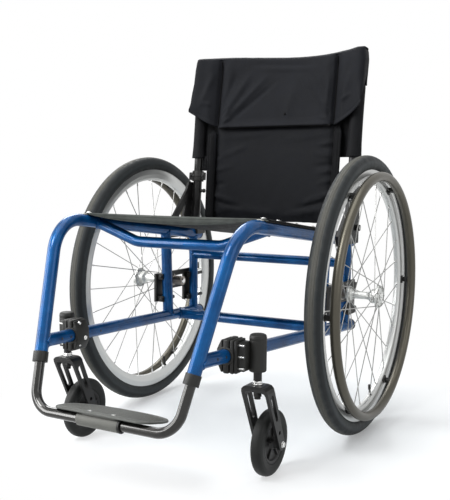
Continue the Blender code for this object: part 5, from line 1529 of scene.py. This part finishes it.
def rear_seams():
    """Two rows beside each sleeve and one along the rear cloth's hem."""
    lines = []
    for side, inset in ((-1, 0.0250), (-1, 0.0285), (1, 0.0250), (1, 0.0285)):
        line = []
        for z in (0.614 + (0.768 - 0.614) * step / 59 for step in range(60)):
            x = side * (at(POST, 2, z).x - inset)
            line.append(Vector((x, rear_cloth_y(x, z) + 0.0010, z)))
        lines.append(line)
    hem = [x * 0.002 for x in range(-92, 93)]
    return lines + [[Vector((x, rear_cloth_y(x, 0.6190) + 0.0010, 0.6190)) for x in hem]]


def rear_flap_seam():
    z = 0.7830
    return [[hung(x, flap_rear_y(x, z, flap_half_width(z)) + 0.0004, z) for x in spread(120, 0.190)]]


FLAP = add("back_flap_skin", flap_sheet(), CLOTH, "backrest", ["back_flap"], 70)
solidify(FLAP, 0.0022)
SLEEVES = add("back_sleeves_skin", back_cloth(), CLOTH_DARK, "backrest", ["back_sleeves"], 70)
solidify(SLEEVES, 0.0018, -0.2)
pad_piece()
add_pair("back_pad_roll", pad_roll, PAD_CLOTH, "backrest", "back_pad", sharp=60)
add("sleeve_strap_end", strap_end(), CLOTH_DARK, "backrest", sharp=50)
FLAP_TRIM = [add(name, shape, material, "backrest") for name, shape, material in (
    ("flap_stitches", stitches(flap_seams(), -Y), CLOTH_DARK),
    ("flap_rear_stitches", stitches(rear_flap_seam(), Y), SHEEN_GREY_THREAD))]
REAR_STITCHES = add("back_rear_stitches", stitches(rear_seams(), Y), SHEEN_GREY_THREAD, "backrest")
# The strips in the creases and under the hem are painted shade; the stud is black itself.
FLAP_TRIM += [add(name, shape, SHADE_AND_STUD_BLACK, "backrest") for name, shape in (
    ("flap_crease_shade_strip", crease_shade_strip()), ("flap_hem_shadow_strip", hem_shadow_strip()), ("flap_stud", flap_stud()))]


# seat sling

SLING_FRONT, SLING_REAR = -0.352, 0.058
SLING_SAG, SLING_FRONT_SAG = 0.012, 0.001
RAIL_REACH = FRAME_TUBE + 0.0003
SLING_WRAP = 0.0095
RAIL_SCREWS = (-0.343, -0.280, -0.200, -0.115, -0.030)


def sling_sag(y):
    return SLING_FRONT_SAG + (SLING_SAG - SLING_FRONT_SAG) * unit((y - SLING_FRONT) / 0.12)


def sling_edge(y):
    """The rail, and where the sling leaves it."""
    rail = at(RAIL, 1, y)
    leave = RAIL_REACH * 2 * sling_sag(y) / rail.x
    return rail, rail.x - leave, rail.z + math.sqrt(RAIL_REACH ** 2 - leave ** 2)


def sling_under(x, y):
    rail, edge_x, edge_z = sling_edge(y)
    if abs(x) <= edge_x:
        return edge_z - sling_sag(y) * (1 - (x / edge_x) ** 2)
    return rail.z + math.sqrt(max(0.0, RAIL_REACH ** 2 - (abs(x) - rail.x) ** 2))


def sling_columns(y):
    """Places across the sling: evenly over the middle, finer over the rails."""
    edge_x, outer = sling_edge(y)[1], at(RAIL, 1, y).x + SLING_WRAP
    half = [edge_x * step / 36 for step in range(37)]
    half += [edge_x + (outer - edge_x) * step / 10 for step in range(1, 11)]
    return [-x for x in half[:0:-1]] + half


def hem_drop(x):
    return 0.014 * (1 - min(1.0, abs(x) / sling_edge(SLING_FRONT)[1]) ** 2.5)


def sling_wave(x, y):
    """Faint tension folds that run in from the screws of each rail."""
    inside = math.exp(-max(0.0, 0.19 - abs(x)) / 0.030)
    pulls = sum(0.0010 * bell(y - screw_y, 0.008) * inside for screw_y in RAIL_SCREWS)
    return pulls + 0.0007 * soft_noise(x, y, 2.0, 11) + 0.0004 * soft_noise(x, y, 5.0, 34)


def sling_sheet():
    rows = []
    for step in range(7):
        line = []
        for x in sling_columns(SLING_FRONT):
            drop = max(0.0, hem_drop(x) - 0.001) * (1 - step / 7)
            y = SLING_FRONT + 0.0016 + 0.0012 * (drop > 0.002)
            line.append(Vector((x, y, sling_under(x, SLING_FRONT) + 0.0018 - drop)))
        rows.append(line)
    start = SLING_FRONT + 0.0060
    for y in [SLING_FRONT + 0.0030] + [start + (SLING_REAR - start) * step / 60 for step in range(61)]:
        line = []
        for x in sling_columns(y):
            free = unit((sling_edge(y)[1] - abs(x)) / 0.02)
            line.append(Vector((x, y, sling_under(x, y) + 0.0018 + sling_wave(x, y) * free)))
        rows.append(line)
    return grid(rows)


def front_hem():
    """Grey binding sewn over the sling's front edge."""
    rows = []
    for share, front in ((0.0, 0.0004), (0.12, 0.0002), (0.14, -0.0002), (0.5, -0.0002), (0.86, -0.0002),
                         (0.88, 0.0002), (1.0, 0.0002)):
        line = []
        for x in sling_columns(SLING_FRONT):
            top, drop = sling_under(x, SLING_FRONT) + 0.0032, hem_drop(x)
            low = top - 0.0022 - drop
            line.append(Vector((x, SLING_FRONT + front, low + (top - 0.0006 - low) * share)))
        rows.append(line)
    for back, lift in ((0.0006, 0.0037), (0.003, 0.0037), (0.010, 0.0037), (0.0115, 0.0031)):
        y = SLING_FRONT + back
        rows.append([Vector((x, y, sling_under(x, y) + lift)) for x in sling_columns(SLING_FRONT)])
    return grid(rows)


def hem_stitches():
    lines = []
    for share in (0.20, 0.80):
        line = []
        for x in [value * 0.001 for value in range(-196, 197, 4)]:
            top = sling_under(x, SLING_FRONT) + 0.0026
            low = top - 0.0016 - hem_drop(x)
            line.append(Vector((x, SLING_FRONT - 0.0004, low + (top - low) * share)))
        lines.append(line)
    return stitches(lines, -Y, 0.00036, 0.0040)


def over_rail(y, start, turn, edge, middle):
    """Points over the rail's top through a turn in degrees, with their reach at both ends and between."""
    rail = at(RAIL, 1, y)
    points = []
    for step in range(13):
        angle = math.radians(start + step * turn / 12)
        reach = middle if 0 < step < 12 else edge
        points.append(Vector((rail.x + reach * math.cos(angle), y, rail.z + reach * math.sin(angle))))
    return points


def rail_strip():
    """Stiff edge strip of the sling, screwed along the rail's top."""
    length, under = SLING_REAR - SLING_FRONT - 0.016, RAIL_REACH + 0.0033
    return grid([over_rail(SLING_FRONT + 0.013 + length * step / 60, 58, 62, under + 0.0002, under + 0.0014)
                 for step in range(61)])


def strip_end():
    """Pale end of the edge strip, in front of the hem on the rail."""
    low, high = RAIL_REACH + 0.0004, RAIL_REACH + 0.0016
    return grid([over_rail(y, 66, 48, reach, reach) for y, reach in (
        (-0.3635, low), (-0.3625, high), (-0.3590, high), (-0.3540, high), (-0.3528, low))])


def rail_screws():
    shapes = []
    axis = Vector((-0.10, 0, 1)).normalized()
    for y in RAIL_SCREWS:
        matrix = along(at(RAIL, 1, y) + axis * (RAIL_REACH + 0.0042), axis)
        shapes.append(turned([(0.0058, 0), (0.0060, 0.0006), (0.0048, 0.0010)], 0.0003, 32, matrix))
        shapes.append(turned([(0.0040, 0.0009), (0.0038, 0.0018), (0.0026, 0.0025), (0.0014, 0.0026),
                              (0.0013, 0.0014)], 0.0005, 32, matrix))
    return merge(*shapes)


SLING = add("seat_sling_skin", sling_sheet(), SEAT_CLOTH, "frame", ["seat_sling"], 70)
solidify(SLING, 0.0026, 0.0)
HEM = add("sling_front_binding", front_hem(), HEM_GREY, "frame", sharp=60)
HEM_THREAD = add("sling_front_stitches", hem_stitches(), HEM_GREY, "frame")
STRIPS = add_pair("sling_edge_strip", rail_strip, SEAT_CLOTH, "frame", "seat_sling", sharp=60)
SCREWS = add_pair("sling_screws", rail_screws, SCREW_STEEL, "frame", "lock_pin")
ENDS = add_pair("sling_strip_end", strip_end, CREAM, "frame", "seat_sling", sharp=60)
for pieces, thickness in (([HEM], 0.0010), (STRIPS, 0.0008), (ENDS, 0.0010)):
    for piece in pieces:
        solidify(piece, thickness)


# floor, light and camera

def floor_material():
    """Pale and matt, darker bluish grey near the chair as painted shade, fading into white light away from
    the chair.
    """
    n = Nodes("pale_floor")
    n.set(Roughness=0.30, Specular_IOR_Level=0.2)
    distance = n.node("VectorMath", {0: n.place, 1: (0.05, 0.20, 0)}, operation="DISTANCE").outputs["Value"]
    # Painted shade: the colour darkens towards the chair, as if shaded by it.
    shade_reach = n.math("ADD", distance, n.math("MULTIPLY", n.noise(0.9, 3), 0.25))
    pale = n.range(shade_reach, 0.0, 1.0, 0.35, 1.6)
    n.colour(n.ramp(pale, (0.0, (0.86, 0.90, 0.92)), (1.0, (0.95, 0.96, 0.965))))
    glow = n.node("Emission", {"Color": (1, 1, 1, 1), "Strength": 1.0})
    share = n.math("MULTIPLY", n.range(distance, 0.20, 1.0, 0.25, 0.70), seen_directly(n.tree))
    mix = n.node("MixShader", {"Fac": share, 1: n.shader.outputs[0], 2: glow.outputs[0]})
    n.tree.links.new(mix.outputs[0], n.tree.nodes["Material Output"].inputs["Surface"])
    return n.material


def stage():
    mesh = bpy.data.meshes.new("floor")
    shape = bmesh.new()
    bmesh.ops.create_circle(shape, cap_ends=True, segments=96, radius=14)
    shape.to_mesh(mesh)
    shape.free()
    mesh.materials.append(floor_material())
    floor = bpy.data.objects.new("floor", mesh)
    bpy.context.scene.collection.objects.link(floor)


def world():
    """White where it is seen directly, and a soft bluish light on the chair."""
    scene = bpy.context.scene
    scene.world = bpy.data.worlds.new("studio")
    scene.world.use_nodes = True
    tree = scene.world.node_tree
    tree.nodes.clear()
    white = new_node(tree, "Background", {"Color": (1, 1, 1, 1)}).outputs[0]
    soft = new_node(tree, "Background", {"Color": (0.95, 0.97, 1.0, 1), "Strength": 0.30}).outputs[0]
    mix = new_node(tree, "MixShader", {"Fac": seen_directly(tree), 1: soft, 2: white})
    new_node(tree, "OutputWorld", {"Surface": mix.outputs[0]})


def lamp(name, place, target, size, power, height=None):
    data = bpy.data.lights.new(name, "AREA")
    data.shape = "RECTANGLE" if height else "SQUARE"
    data.size = size
    if height:
        data.size_y = height
    data.energy = power
    obj = bpy.data.objects.new(name, data)
    obj.location = place
    obj.rotation_euler = (Vector(target) - Vector(place)).to_track_quat("-Z", "Y").to_euler()
    bpy.context.scene.collection.objects.link(obj)
    return obj


def camera():
    yaw, pitch, roll = 0.5063, 0.1159, 0.008
    place = Vector((0.8283, -1.6144 + SHIFT, 0.5539))
    back = Vector((math.sin(yaw) * math.cos(pitch), -math.cos(yaw) * math.cos(pitch), math.sin(pitch)))
    right = Vector((math.cos(yaw), math.sin(yaw), 0))
    up = back.cross(right)
    turned_right = right * math.cos(roll) + up * math.sin(roll)
    turned_up = up * math.cos(roll) - right * math.sin(roll)
    data = bpy.data.cameras.new("photo_view")
    data.sensor_width = 36
    data.lens = 55.43
    data.shift_y = 0.04
    obj = bpy.data.objects.new("photo_view", data)
    turn = Matrix((turned_right, turned_up, back)).transposed().to_4x4()
    obj.matrix_world = Matrix.Translation(place) @ turn
    bpy.context.scene.collection.objects.link(obj)
    bpy.context.scene.camera = obj


stage()
world()
lamp("key", (-0.80, -2.05, 2.70), (0, 0, 0.42), 1.1, 86)
lamp("glint", (-1.35, -1.95, 0.80), (0, 0, 0.60), 0.42, 30, 1.7).visible_diffuse = False
lamp("left", (-2.3, -1.0, 1.0), (0, 0, 0.4), 1.4, 40)
lamp("right", (2.4, -0.7, 1.3), (0, 0, 0.4), 1.4, 12)
lamp("top", (-0.1, -0.2, 2.9), (0, 0, 0.4), 2.4, 52)
lamp("rear", (-1.7, 1.45, 2.1), (0, 0, 0.6), 1.2, 38)
camera()
bpy.context.scene.view_settings.view_transform = "Standard"
